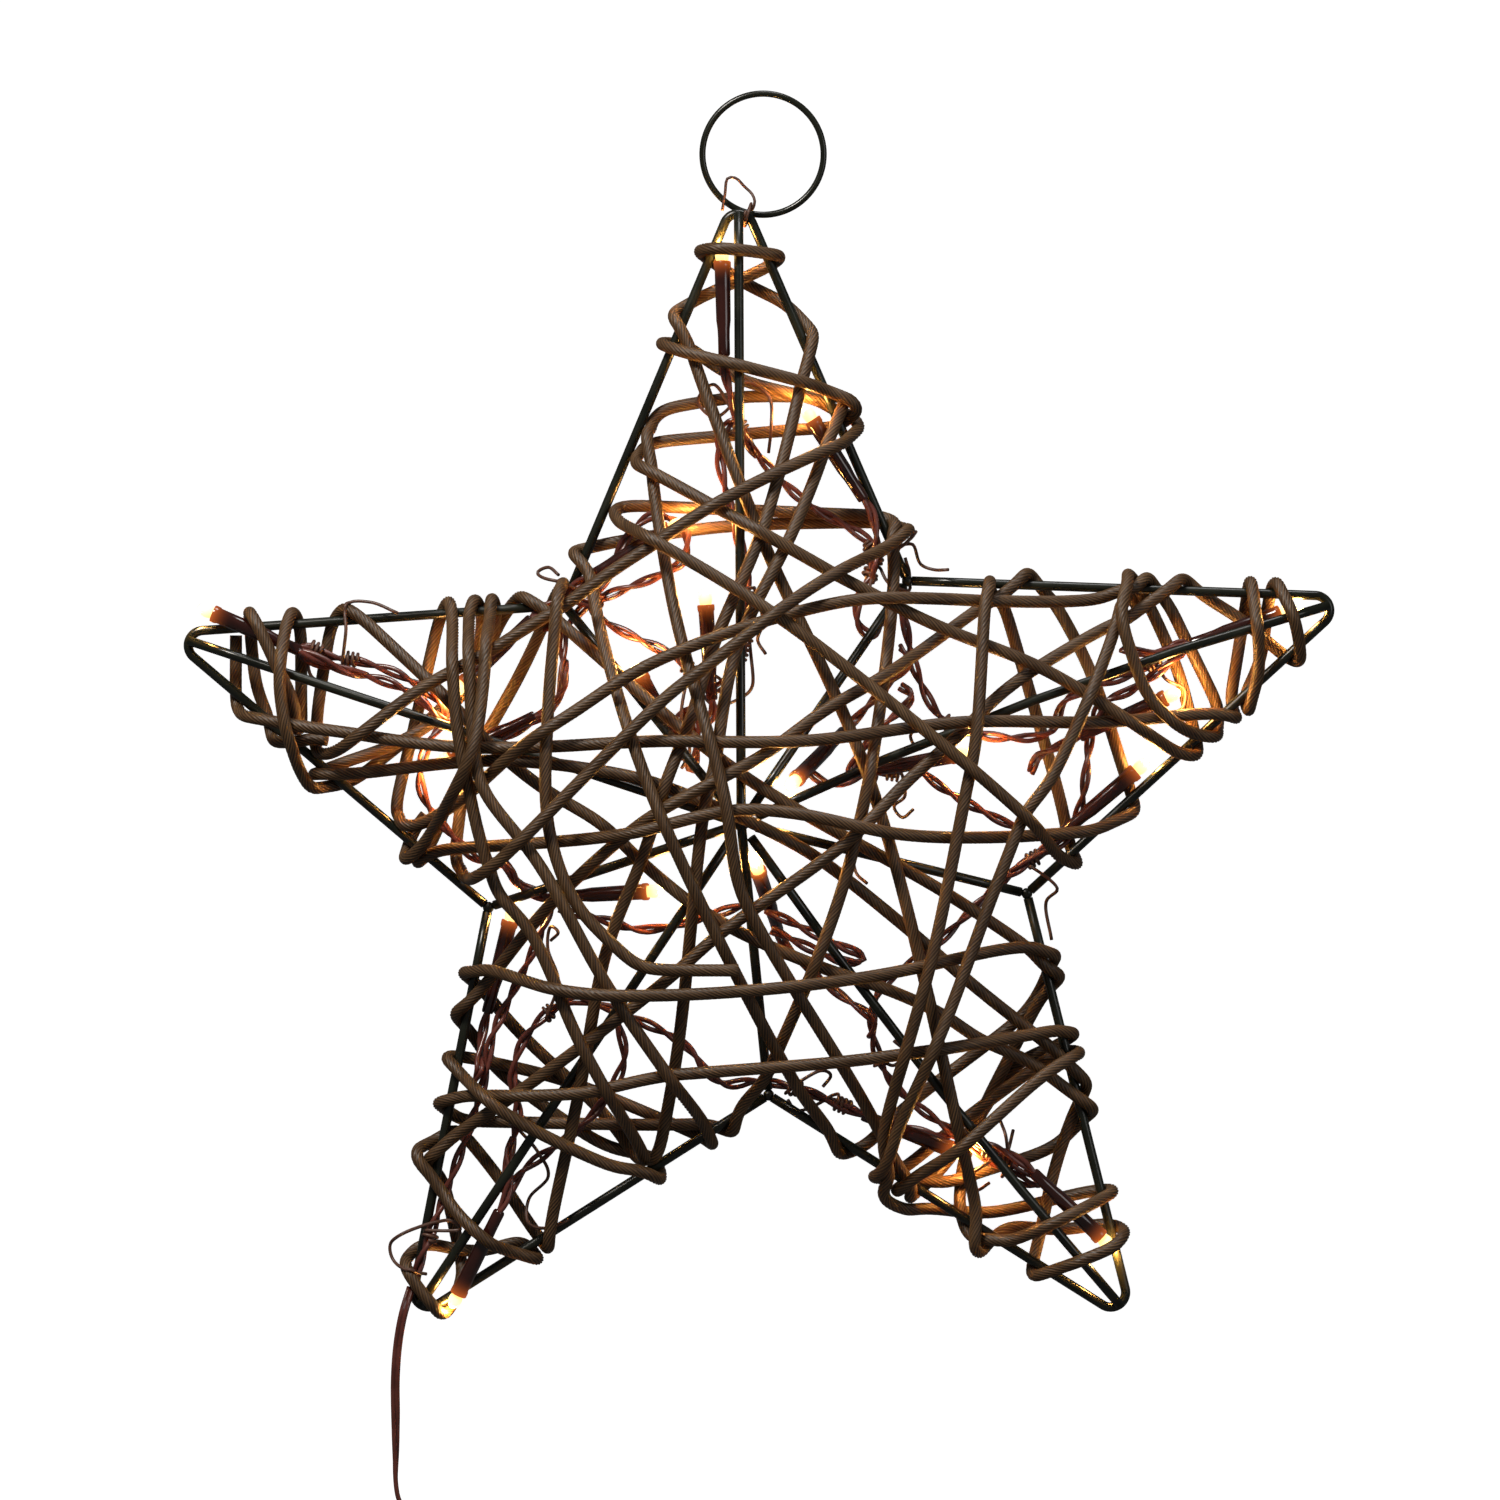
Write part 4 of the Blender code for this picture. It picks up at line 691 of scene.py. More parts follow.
def moved_apart(lines, radius, blocks, rounds=4):
    """The lines moved just enough for their tubes to clear each other and the blocks."""
    counts = [len(line) for line in lines]
    points = np.vstack(lines)
    start = points.copy()
    before, share, owner, along = samples_on(lines)
    share = share[:, None]
    reach = 2 * radius
    for number in range(rounds):
        places = (1 - share) * points[before] + share * points[before + 1]
        own = near_pairs(places, places, reach * LOOKS_ROUND)
        first, second = own[own[:, 0] < own[:, 1]].T
        same = (owner[first] == owner[second]) & (along[second] - along[first] < LOOKS_ROUND * reach)
        first, second = first[~same], second[~same]
        mine, held = near_pairs(places, blocks, reach * LOOKS_ROUND).T
        for _ in range(PUSHES):
            places = (1 - share) * points[before] + share * points[before + 1]
            push = np.zeros_like(places)
            apart = places[first] - places[second]
            distance = np.maximum(np.linalg.norm(apart, axis=1), 1e-6)
            short = np.maximum(reach - distance, 0)[:, None] * apart / distance[:, None] / 2
            np.add.at(push, first, short)
            np.add.at(push, second, -short)
            apart = places[mine] - blocks[held, :3]
            distance = np.maximum(np.linalg.norm(apart, axis=1), 1e-6)
            short = np.maximum(radius + blocks[held, 3] - distance, 0)
            np.add.at(push, mine, short[:, None] * apart / distance[:, None])
            moves = np.zeros_like(points)
            np.add.at(moves, before, 0.5 * (1 - share) * push)
            np.add.at(moves, before + 1, 0.5 * share * push)
            points = points + moves
            if number < rounds - 1:
                points = start + eased(points - start, counts)
    return np.split(points, np.cumsum(counts)[:-1])


def eased(moves, counts):
    """Moves shared out a little along each line, so that no line gets a kink."""
    shared = []
    for part in np.split(moves, np.cumsum(counts)[:-1]):
        ends = np.vstack([part[:1], part, part[-1:]])
        shared.append(0.25 * ends[:-2] + 0.5 * ends[1:-1] + 0.25 * ends[2:])
    return np.vstack(shared)


def wire_blocks(wires, word=""):
    """The wires whose names hold a word, as blocks."""
    return np.vstack([as_blocks(line, WIRE_DIAMETER / 2) for name, line in wires.items() if word in name])


def holder_axes(wires, lights):
    """The mouth and the tail of each holder, in front of the outline and behind the ribs."""
    outline, ribs = wire_blocks(wires, "outline"), wire_blocks(wires, "rib")
    radius = HOLDER_MOUTH_DIAMETER / 2 + GAP
    axes = []
    for mouth, towards, mouth_share, tail_share in lights:
        mouth, towards = plan(mouth), plan(towards)
        start = np.array([*mouth, rise_at(mouth) * mouth_share])
        aim = np.array([*towards, rise_at(towards) * tail_share])
        along = unit(aim - start)
        axis = np.array([start, start + along * HOLDER_LENGTH])
        lamp_room = np.array([-along * LAMP_PROUD, [0.0, 0.0, 0.0]])
        line = evenly(axis + lamp_room)
        lift = (clear_height(line[:, :2], radius, outline, 1) - line[:, 2]).max()
        axis[:, 2] += max(lift, 0.0)
        line = evenly(axis + lamp_room)
        drop = (clear_height(line[:, :2], radius, ribs, -1) + line[:, 2]).max()
        axis[:, 2] -= max(drop, 0.0)
        axes.append(axis)
    return axes


def holder_blocks(axes):
    """The room that each holder and its lamp take, as blocks along their axis."""
    blocks = []
    for mouth, tail in axes:
        tip = mouth + unit(mouth - tail) * LAMP_PROUD
        line = evenly(np.array([tip, tail]))
        radius = np.linspace(HOLDER_MOUTH_DIAMETER / 2, HOLDER_TAIL_DIAMETER / 2, len(line))
        blocks.append(np.column_stack([line, radius]))
    return np.vstack(blocks)


CABLE_RISE = 0.4
CABLE_EASINGS = 30


def slack_height(line):
    """How far forward a loose cable lies over each plan place, as a share of the ribs' rise."""
    return np.array([CABLE_RISE * rise_at(place) for place in line])


def light_cable_line(wires, holders):
    """The cable's centre line, slack in the room between the outline and the ribs."""
    line = smooth(plan(CABLE_ROUTE))
    height = slack_height(line)
    outline, ribs = wire_blocks(wires, "outline"), wire_blocks(wires, "rib")
    radius = CABLE_DIAMETER / 2 + GAP
    over = clear_height(line, radius, outline, 1)
    under = -clear_height(line, radius, np.vstack([ribs, holders]), -1)
    for _ in range(CABLE_EASINGS):
        height = np.minimum(np.maximum(height, over), under)
        height[1:-1] = (height[:-2] + height[1:-1] + height[2:]) / 3
    height = np.minimum(np.maximum(height, over), under)
    fixed = np.vstack([outline, ribs, holders])
    return moved_apart([flat(line, height)], radius, fixed)[0]


print("a strand rests", round((STRAND_DIAMETER + WIRE_DIAMETER) / 2 * 1000, 2), "mm from a wire's middle")

# %% [markdown]
# ## The camera
#
# The photograph looks straight at the star from the front. A long lens far away keeps the hub from
# looking bigger than the edge, as in the photograph, and the picture is 0.551 m wide at the star.

# %% Camera
VIEW_WIDTH = 0.5514
VIEW_DISTANCE = 3.2
VIEW_CENTRE = (-0.0018, 0.0228)


def make_camera():
    data = bpy.data.cameras.new("camera")
    data.sensor_width = 36.0
    data.lens = data.sensor_width * VIEW_DISTANCE / VIEW_WIDTH
    camera = bpy.data.objects.new("camera", data)
    scene.collection.objects.link(camera)
    x, y, z = to_world([[*VIEW_CENTRE, 0.0]])[0]
    camera.location = (x, y - VIEW_DISTANCE, z)
    camera.rotation_euler = (math.radians(90), 0.0, 0.0)
    scene.camera = camera
    print("camera lens", round(data.lens, 1), "mm at", [round(v, 3) for v in camera.location])


make_camera()

# %% [markdown]
# ## Sweeping a section along a line
#
# Strands, wires and cords are all one section carried along a line. A curve with a bevel could do it,
# but then the grooves could not be turned slowly along the strand, nor the surface carry a map in
# metres. So one function carries any section along any line, turns it as it goes, closes its two ends
# and writes the map: along the piece in metres, and round it from 0 to 1.

# %% Helper for swept pieces
def tangents_of(line, closed):
    if closed:
        ahead, behind = np.roll(line, -1, axis=0), np.roll(line, 1, axis=0)
        steps = ahead - behind
    else:
        steps = np.gradient(line, axis=0)
    return steps / np.maximum(np.linalg.norm(steps, axis=1, keepdims=True), 1e-12)


def frames_along(line, closed=False, side=None):
    """Two directions across the line at each point, carried on without needless turning."""
    tangents = tangents_of(line, closed)
    across = np.zeros_like(line)
    last = np.array([0.0, 1.0, 0.0] if abs(tangents[0][1]) < 0.9 else [1.0, 0.0, 0.0])
    sides = None if side is None else np.broadcast_to(np.asarray(side, float), line.shape)
    for k, tangent in enumerate(tangents):
        if side is not None:
            last = sides[k]
        flat_part = last - tangent * (last @ tangent)
        last = flat_part / max(np.linalg.norm(flat_part), 1e-12)
        across[k] = last
    return across, np.cross(tangents, across)


def round_section(diameter, sides):
    angles = np.arange(sides) * math.tau / sides
    return diameter / 2 * np.column_stack([np.cos(angles), np.sin(angles)])


def swept(name, line, section, finish, turn_every=None, closed=False, side=None):
    """A piece made by carrying a section along a line of world places."""
    line = np.asarray(line, float)
    across, up = frames_along(line, closed, side)
    along = length_along(line)
    if turn_every:
        angle = (along / turn_every * math.tau)[:, None]
        cosine, sine = np.cos(angle), np.sin(angle)
        across, up = across * cosine + up * sine, up * cosine - across * sine
    rings = line[:, None] + (section[:, :1] * across[:, None] + section[:, 1:] * up[:, None])
    count, sides = len(line), len(section)
    verts = rings.reshape(-1, 3)
    faces, places = [], []
    for ring in range(count if closed else count - 1):
        after = (ring + 1) % count
        u0 = along[ring]
        u1 = along[ring + 1] if ring + 1 < count else along[ring] + np.linalg.norm(line[0] - line[-1])
        for k in range(sides):
            k1 = (k + 1) % sides
            faces.append((ring * sides + k, ring * sides + k1, after * sides + k1, after * sides + k))
            places += [(u0, k / sides), (u0, (k + 1) / sides), (u1, (k + 1) / sides), (u1, k / sides)]
    if not closed:
        faces.append(tuple(range(sides))[::-1])
        places += [(along[0], k / sides) for k in range(sides)][::-1]
        faces.append(tuple((count - 1) * sides + k for k in range(sides)))
        places += [(along[-1], k / sides) for k in range(sides)]
    mesh = bpy.data.meshes.new(name)
    mesh.from_pydata(verts.tolist(), [], faces)
    mesh.uv_layers.new(name="along").data.foreach_set("uv", np.array(places, np.float32).ravel())
    mesh.polygons.foreach_set("use_smooth", [len(face) == 4 for face in faces])
    mesh.materials.append(finish)
    piece = bpy.data.objects.new(name, mesh)
    scene.collection.objects.link(piece)
    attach(piece, "root")
    return piece


CLOSEST_RINGS = 0.0003


def followed(line, within, longest):
    """The line's points, close together in its bends and at most a stated step apart elsewhere."""
    along = length_along(line)
    kept = along[thinned_at(line, within)]
    even = np.linspace(0, along[-1], max(2, math.ceil(along[-1] / longest) + 1))
    at = np.unique(np.concatenate([kept, even]).round(6))
    at = at[np.diff(at, prepend=-1.0) > CLOSEST_RINGS]
    at[-1] = along[-1]
    return np.stack([np.interp(at, along, column) for column in line.T], axis=1)


WIRE_SIDES = 16
RING_SIDES = 14
print("a round wire has", len(round_section(WIRE_DIAMETER, WIRE_SIDES)), "sides")

# %% [markdown]
# ## Finishes
#
# Each finish is built from noise and from the map that the swept pieces carry. Noise read in metres
# keeps its true scale on a thin wire, which a pattern stretched over each piece would not. Small
# helpers join the nodes, so that each finish below reads as a short list of what is mixed with what.

# %% Helpers for finishes
def new_finish(name, **plain):
    """A finish, its nodes and its shader, with the inputs that are the same all over."""
    finish = bpy.data.materials.new(name)
    finish.use_nodes = True
    shader = finish.node_tree.nodes["Principled BSDF"]
    for key, value in plain.items():
        if isinstance(value, tuple):
            value = (*value, 1.0)
        shader.inputs[key.replace("_", " ")].default_value = value
    return finish, finish.node_tree, shader


def grain(tree, scale, detail=3.0, source="Object", stretch=(1, 1, 1)):
    """Noise on the piece's own metres, or on its map."""
    place = tree.nodes.new("ShaderNodeTexCoord")
    mapping = tree.nodes.new("ShaderNodeMapping")
    mapping.inputs["Scale"].default_value = stretch
    noise = tree.nodes.new("ShaderNodeTexNoise")
    noise.inputs["Scale"].default_value = scale
    noise.inputs["Detail"].default_value = detail
    tree.links.new(place.outputs[source], mapping.inputs["Vector"])
    tree.links.new(mapping.outputs["Vector"], noise.inputs["Vector"])
    return noise.outputs["Fac"]


def blended(tree, value, stops):
    """Colours along a value from 0 to 1."""
    ramp = tree.nodes.new("ShaderNodeValToRGB")
    ramp.color_ramp.elements.remove(ramp.color_ramp.elements[0])
    for number, (at, colour) in enumerate(stops):
        stop = ramp.color_ramp.elements[0] if number == 0 else ramp.color_ramp.elements.new(at)
        stop.position = at
        stop.color = (*colour, 1.0)
    tree.links.new(value, ramp.inputs["Fac"])
    return ramp.outputs["Color"]


def ranged(tree, value, low, high, to_low, to_high):
    node = tree.nodes.new("ShaderNodeMapRange")
    for key, number in (("From Min", low), ("From Max", high), ("To Min", to_low), ("To Max", to_high)):
        node.inputs[key].default_value = number
    tree.links.new(value, node.inputs["Value"])
    return node.outputs["Result"]


def multiplied(tree, colour, shade):
    """A colour made darker by a shade."""
    mixed = tree.nodes.new("ShaderNodeMix")
    mixed.data_type = "RGBA"
    mixed.blend_type = "MULTIPLY"
    mixed.inputs["Factor"].default_value = 1.0
    tree.links.new(colour, mixed.inputs[6])
    tree.links.new(shade, mixed.inputs[7])
    return mixed.outputs[2]


def reckoned(tree, operation, value, number=0.0):
    """One step of arithmetic with a value."""
    node = tree.nodes.new("ShaderNodeMath")
    node.operation = operation
    node.inputs[1].default_value = number
    tree.links.new(value, node.inputs[0])
    return node.outputs[0]


def on_map(tree, axis):
    """A place on the piece's map: X along it in metres, Y round it from 0 to 1."""
    place = tree.nodes.new("ShaderNodeTexCoord")
    parts = tree.nodes.new("ShaderNodeSeparateXYZ")
    tree.links.new(place.outputs["UV"], parts.inputs["Vector"])
    return parts.outputs[axis]


def mottled(tree, shader, value, dark, light):
    """A base colour that wanders between two shades."""
    tree.links.new(blended(tree, value, [(0.3, dark), (0.7, light)]), shader.inputs["Base Color"])


def uneven_gloss(tree, shader, value, smoothest, roughest):
    tree.links.new(ranged(tree, value, 0.3, 0.7, smoothest, roughest), shader.inputs["Roughness"])


def dented(tree, shader, value, depth, strength):
    """Small height differences seen only in the light."""
    bump = tree.nodes.new("ShaderNodeBump")
    bump.inputs["Strength"].default_value = strength
    bump.inputs["Distance"].default_value = depth
    tree.links.new(value, bump.inputs["Height"])
    tree.links.new(bump.outputs["Normal"], shader.inputs["Normal"])


# %% [markdown]
# The frame's wire has a thin plastic coat of a green so dark that it looks black. It is smooth and
# satin, and it is slightly uneven where the coat is thicker.

# %% Coated wire
def coated_wire():
    finish, tree, shader = new_finish("coated_wire")
    patches = grain(tree, 55.0)
    mottled(tree, shader, patches, (0.006, 0.007, 0.004), (0.017, 0.019, 0.011))
    uneven_gloss(tree, shader, patches, 0.20, 0.34)
    dented(tree, shader, grain(tree, 700.0), 0.00005, 0.5)
    return finish


# %% [markdown]
# The rattan is a round plastic strand with fine grooves that wind slowly round it, pressed in as it is
# drawn. The grooves are real in the mesh, and the finish only darkens them, as painted shade. It adds
# lighter and darker streaks along the strand, as the pigment is not mixed evenly, and a soft satin gloss.

# %% Rattan
GROOVES = 12
RIB_ENDS, GROOVE_AT = 0.36, 0.68


def painted_groove_shade(tree, colour):
    """The colour, darker in the grooves: painted shade where little light reaches."""
    share = reckoned(tree, "FRACT", reckoned(tree, "MULTIPLY", on_map(tree, "Y"), GROOVES))
    # painted shade: the colour in each groove is darkened to stand in for the shade that falls there
    full, dark = (1.0, 1.0, 1.0), (0.12, 0.10, 0.08)
    shade = blended(tree, share, [(0.0, full), (RIB_ENDS, full), (GROOVE_AT, dark), (1.0, full)])
    return multiplied(tree, colour, shade)


def rattan():
    finish, tree, shader = new_finish("rattan", Specular_IOR_Level=0.5)
    streaks = grain(tree, 1.0, 4.0, "UV", (22.0, 16.0, 1.0))
    shades = grain(tree, 1.0, 2.0, "UV", (6.0, 0.6, 1.0))
    colour = blended(
        tree,
        streaks,
        [(0.28, (0.075, 0.036, 0.013)), (0.5, (0.150, 0.078, 0.031)), (0.74, (0.250, 0.145, 0.066))],
    )
    tint = blended(tree, shades, [(0.3, (0.72, 0.70, 0.68)), (0.7, (1.0, 1.0, 1.0))])
    # the base colour carries painted shade in the grooves
    tree.links.new(painted_groove_shade(tree, multiplied(tree, colour, tint)), shader.inputs["Base Color"])
    uneven_gloss(tree, shader, streaks, 0.38, 0.55)
    dented(tree, shader, grain(tree, 1.0, 5.0, "UV", (160.0, 60.0, 1.0)), 0.00006, 0.6)
    return finish


# %% [markdown]
# The light string's wires, the lamp holders and the lead are soft plastic in a see-through red-brown.
# It looks almost black in the shade and glows red where a lamp shines into it. The holders get a glow
# that fades from the mouth, as the lamp stands inside it.

# %% Cable, holders and lamps
def cable_coat():
    finish, tree, shader = new_finish("cable_coat", Coat_Weight=0.3)
    mottled(tree, shader, grain(tree, 90.0), (0.085, 0.020, 0.014), (0.190, 0.052, 0.037))
    uneven_gloss(tree, shader, grain(tree, 150.0), 0.2, 0.34)
    dented(tree, shader, grain(tree, 900.0), 0.00003, 0.4)
    return finish


HOLDER_GLOW = 0.55
GLOW_REACH = 0.009
LAMP_GLOW = 2.6


def holder_plastic():
    finish, tree, shader = new_finish(
        "holder_plastic",
        Roughness=0.16,
        Coat_Weight=0.6,
        Coat_Roughness=0.08,
        Emission_Color=(1.0, 0.20, 0.03),
    )
    mottled(tree, shader, grain(tree, 120.0), (0.026, 0.005, 0.003), (0.048, 0.010, 0.006))
    near_mouth = ranged(tree, on_map(tree, "X"), GLOW_REACH, 0.0, 0.0, 1.0)
    glow = reckoned(tree, "MULTIPLY", reckoned(tree, "POWER", near_mouth, 3.2), HOLDER_GLOW)
    tree.links.new(glow, shader.inputs["Emission Strength"])
    return finish


def lamp_glass():
    finish, tree, shader = new_finish(
        "lamp_glass", Base_Color=(1.0, 0.9, 0.7), Roughness=0.08, Emission_Color=(1.0, 0.72, 0.22)
    )
    glow = ranged(tree, on_map(tree, "X"), 0.0, -0.6 * LAMP_PROUD, 0.5 * LAMP_GLOW, LAMP_GLOW)
    tree.links.new(glow, shader.inputs["Emission Strength"])
    return finish


def plug_plastic():
    finish, tree, shader = new_finish("plug_plastic", Roughness=0.42)
    mottled(tree, shader, grain(tree, 160.0), (0.040, 0.013, 0.009), (0.070, 0.022, 0.015))
    dented(tree, shader, grain(tree, 1600.0), 0.00004, 0.6)
    return finish


def plated_metal():
    finish, tree, shader = new_finish("plated_metal", Base_Color=(0.78, 0.74, 0.66), Metallic=1.0)
    uneven_gloss(tree, shader, grain(tree, 400.0), 0.18, 0.34)
    return finish


def tie_coat():
    finish, tree, shader = new_finish("tie_coat", Roughness=0.4)
    mottled(tree, shader, grain(tree, 200.0), (0.075, 0.032, 0.020), (0.150, 0.070, 0.045))
    return finish


WIRE, RATTAN, CABLE, HOLDER = coated_wire(), rattan(), cable_coat(), holder_plastic()
GLASS, PLUG, METAL, TIE = lamp_glass(), plug_plastic(), plated_metal(), tie_coat()
print("finishes", [finish.name for finish in (WIRE, RATTAN, CABLE, HOLDER, GLASS, PLUG, METAL, TIE)])

# %% [markdown]
# ## The supply lead
#
# The lead is two single wires side by side. It leaves the lower left point, hangs straight down out of
# the picture, and its spare length is wound into a coil with the plug at its end. Its route comes before
# the other pieces, as the strands have to keep clear of it. Each turn of the coil keeps its own place in
# the coil's section, so that the turns lie beside each other and never in each other.

# %% Route of the lead
LEAD_HANGS = [
    (-129, -184, 3), (-131, -195, 2), (-132, -208, 1), (-132, -222, -1), (-132, -236, -3),
    (-132, -247, -4), (-130.5, -254, -5), (-125, -260.5, -5.25), (-118.5, -263.6, -5.25),
]
COIL_PLACES = [
    (-5.25, 1.0), (-5.25, -1.0),
    (-1.75, -2.85), (-1.75, -0.95), (-1.75, 0.95), (-1.75, 2.85),
    (1.75, 2.85), (1.75, 0.95), (1.75, -0.95), (1.75, -2.85),
    (5.25, -1.0), (5.25, 1.0),
]
COIL_FROM = 75.0
COIL_CROSSING = 0.20
COIL_END_TURNS = COIL_FROM / 360 + len(COIL_PLACES) - 1


def coil_middle():
    """The coil's centre, (across, up), a gap under the end of the lead's solid."""
    outer = COIL_RADIUS + COIL_THICKNESS / 2
    drop = math.sqrt(outer**2 - (COIL_ASIDE - LEAD_DIAMETER / 2) ** 2) + GAP
    return np.array([-132 * PLAN + COIL_ASIDE, -261 * PLAN - drop])


def coil_line(forward):
    """The turns, each in its own place of the coil's section, crossing to the next at its end."""
    middle = coil_middle()
    last = len(COIL_PLACES) - 1
    points = []
    for turn in np.arange(0.0, COIL_END_TURNS, 1 / 30):
        number = int(turn)
        here = np.array(COIL_PLACES[min(number, last)])
        after = np.array(COIL_PLACES[min(number + 1, last)])
        share = max(0.0, (turn - number - (1 - COIL_CROSSING)) / COIL_CROSSING)
        share = share * share * (3 - 2 * share)
        ahead, out = (here + (after - here) * share) * 0.001
        angle = math.radians(COIL_FROM - 360 * turn)
        radius = COIL_RADIUS + out
        place = middle + radius * np.array([math.cos(angle), math.sin(angle)])
        points.append((*place, forward + ahead))
    return np.array(points)


def lead_route(start):
    forward = start[2]
    hangs = np.array([(a * PLAN, b * PLAN, forward + c * 0.001) for a, b, c in LEAD_HANGS])
    coil = coil_line(forward)
    x, z = coil_middle()
    tail = [
        (x + 0.0201, z - 0.004, forward + 0.00525), (x + 0.0200, z - 0.008, forward + 0.00525),
        (x + 0.0198, z - 0.012, forward + 0.0050), (x + 0.0193, z - 0.016, forward + 0.0030),
        (x + 0.0190, z - 0.0202, forward + 0.0006), (x + 0.0190, z - 0.0245, forward),
    ]
    return smooth(np.vstack([start[None, :], hangs, coil, tail]), 0.002)


# %% [markdown]
# ## Frame, ring and tie
#
# The wires of the frame are swept round sections with enough sides to look round close up. The ring
# stands just behind the top point's bend and a thin plastic-coated wire ties the two together.

# %% Frame wires
COAT_THICKNESS = 0.0002


def make_frame():
    """The wires with their plastic coat, which is a little thicker than the bare wire's measure."""
    section = round_section(WIRE_DIAMETER + 2 * COAT_THICKNESS, WIRE_SIDES)
    for name, line in wires.items():
        path = followed(evenly(to_world(line), 0.0005), within=0.00003, longest=0.02)
        wire = swept("wire_" + name, path, section, WIRE)
        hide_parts(name)


def make_ring():
    section = round_section(RING_WIRE_DIAMETER, RING_SIDES)
    piece = swept("wire_ring", to_world(ring_line(96)), section, WIRE, closed=True)
    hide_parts("hanging_ring")
    tie = swept("tie_ring", to_world(tie_line()), round_section(TIE_DIAMETER, 10), TIE)
    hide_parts("ring_tie")


make_frame()
make_ring()
print("wires made", len(wires) + 2)

# %% [markdown]
# The wires are welded where they meet, and each weld left a small uneven lump under the coat. A sphere
# is pressed flat and its points are moved a little at random, always by the same seed.

# %% Weld lumps
def modelled(name, finish):
    """The active piece, named and made to ride, with its place moved into its mesh."""
    piece = bpy.context.view_layer.objects.active
    bpy.ops.object.transform_apply(location=True, rotation=True, scale=True)
    piece.name = piece.data.name = name
    piece.data.materials.clear()
    piece.data.materials.append(finish)
    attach(piece, "root")
    return piece


def weld_lump(name, place, size, seed):
    bpy.ops.object.select_all(action="DESELECT")
    x, y, z = to_world([place])[0]
    bpy.ops.mesh.primitive_uv_sphere_add(segments=20, ring_count=12, radius=1.0, location=(x, y, z))
    bpy.context.object.scale = size
    bpy.ops.object.transform_apply(location=False, rotation=False, scale=True)
    bpy.ops.object.mode_set(mode="EDIT")
    bpy.ops.mesh.select_all(action="SELECT")
    bpy.ops.transform.vertex_random(offset=min(size) * 0.12, normal=1.0, seed=seed)
    bpy.ops.mesh.vertices_smooth(factor=0.4)
    bpy.ops.object.mode_set(mode="OBJECT")
    bpy.ops.object.shade_smooth()
    return modelled(name, WIRE)


hub = plan(HUB)
weld_lump("weld_hub", (*hub, HUB_RISE - 0.0004), (0.0030, 0.0018, 0.0026), 1)
for number, corner in enumerate(CORNERS.values()):
    weld_lump(f"weld_corner_{number + 1}", (*plan(corner), 0.0), (0.0021, 0.0018, 0.0021), 2 + number)
print("weld lumps", 1 + len(CORNERS))

# %% [markdown]
# ## Lamp holders and lamps
#
# A holder is a slim tapered plastic tube with a lip at its mouth, and the lamp is pushed into it. It is
# modelled once: a disc is extruded ring by ring up the outside, over the lip and down into the socket,
# as a turner would follow the outline. Then it is copied to its nineteen places, one of them behind a
# strand, and turned to lie along each one's axis.

# %% Helper for turned shapes
def turned_by_hand(rings, sides):
    """A disc extruded and resized ring by ring, each ring (radius, height)."""
    bpy.ops.object.select_all(action="DESELECT")
    radius, height = rings[0]
    bpy.ops.mesh.primitive_circle_add(
        vertices=sides, radius=radius, fill_type="NGON", location=(0, 0, height)
    )
    bpy.ops.object.transform_apply(location=True)
    bpy.ops.object.mode_set(mode="EDIT")
    bpy.ops.mesh.select_all(action="SELECT")
    for next_radius, next_height in rings[1:]:
        bpy.ops.mesh.extrude_region_move(TRANSFORM_OT_translate={"value": (0, 0, next_height - height)})
        if next_radius != radius:
            share = next_radius / radius
            bpy.ops.transform.resize(value=(share, share, 1.0), center_override=(0, 0, next_height))
        radius, height = next_radius, next_height
    bpy.ops.mesh.select_all(action="SELECT")
    bpy.ops.mesh.normals_make_consistent(inside=False)
    bpy.ops.object.mode_set(mode="OBJECT")
    bpy.ops.object.shade_smooth_by_angle(angle=math.radians(40))
    piece = bpy.context.object
    mapped = piece.data.uv_layers.active or piece.data.uv_layers.new(name="along")
    for loop in piece.data.loops:
        point = piece.data.vertices[loop.vertex_index].co
        mapped.data[loop.index].uv = (-point.z, 0.5 + math.atan2(point.y, point.x) / math.tau)
    return piece


def copied_to(source, name, mouth, tail, finish):
    """A copy of a turned shape whose own +Z runs from the tail to the mouth."""
    mouth, tail = to_world([mouth, tail])
    aim = Vector(mouth - tail).to_track_quat("Z", "Y").to_matrix().to_4x4()
    piece = bpy.data.objects.new(name, source.data.copy())
    piece.data.name = name
    piece.data.transform(Matrix.Translation(Vector(mouth)) @ aim)
    piece.data.materials.clear()
    piece.data.materials.append(finish)
    scene.collection.objects.link(piece)
    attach(piece, "root")
    return piece


# %% Shapes of the holder and the lamp
mouth_radius, tail_radius = HOLDER_MOUTH_DIAMETER / 2, HOLDER_TAIL_DIAMETER / 2
lamp_radius = LAMP_DIAMETER / 2
socket_radius = lamp_radius + GAP
holder_shape = turned_by_hand(
    [
        (tail_radius * 0.86, -HOLDER_LENGTH),
        (tail_radius, -HOLDER_LENGTH + 0.0006),
        (tail_radius, -HOLDER_LENGTH * 0.80),
        (tail_radius * 1.04, -HOLDER_LENGTH * 0.72),
        (mouth_radius * 0.84, -HOLDER_LENGTH * 0.62),
        (mouth_radius * 0.88, -HOLDER_LENGTH * 0.30),
        (mouth_radius * 0.90, -0.0026),
        (mouth_radius * 0.985, -0.0021),
        (mouth_radius, -0.0016),
        (mouth_radius, -0.0003),
        (mouth_radius * 0.96, 0.0),
        (mouth_radius - HOLDER_WALL, 0.0),
        (mouth_radius - HOLDER_WALL * 1.3, -0.0006),
        (socket_radius, -SOCKET_DEPTH * 0.5),
        (socket_radius, -SOCKET_DEPTH),
    ],
    24,
)
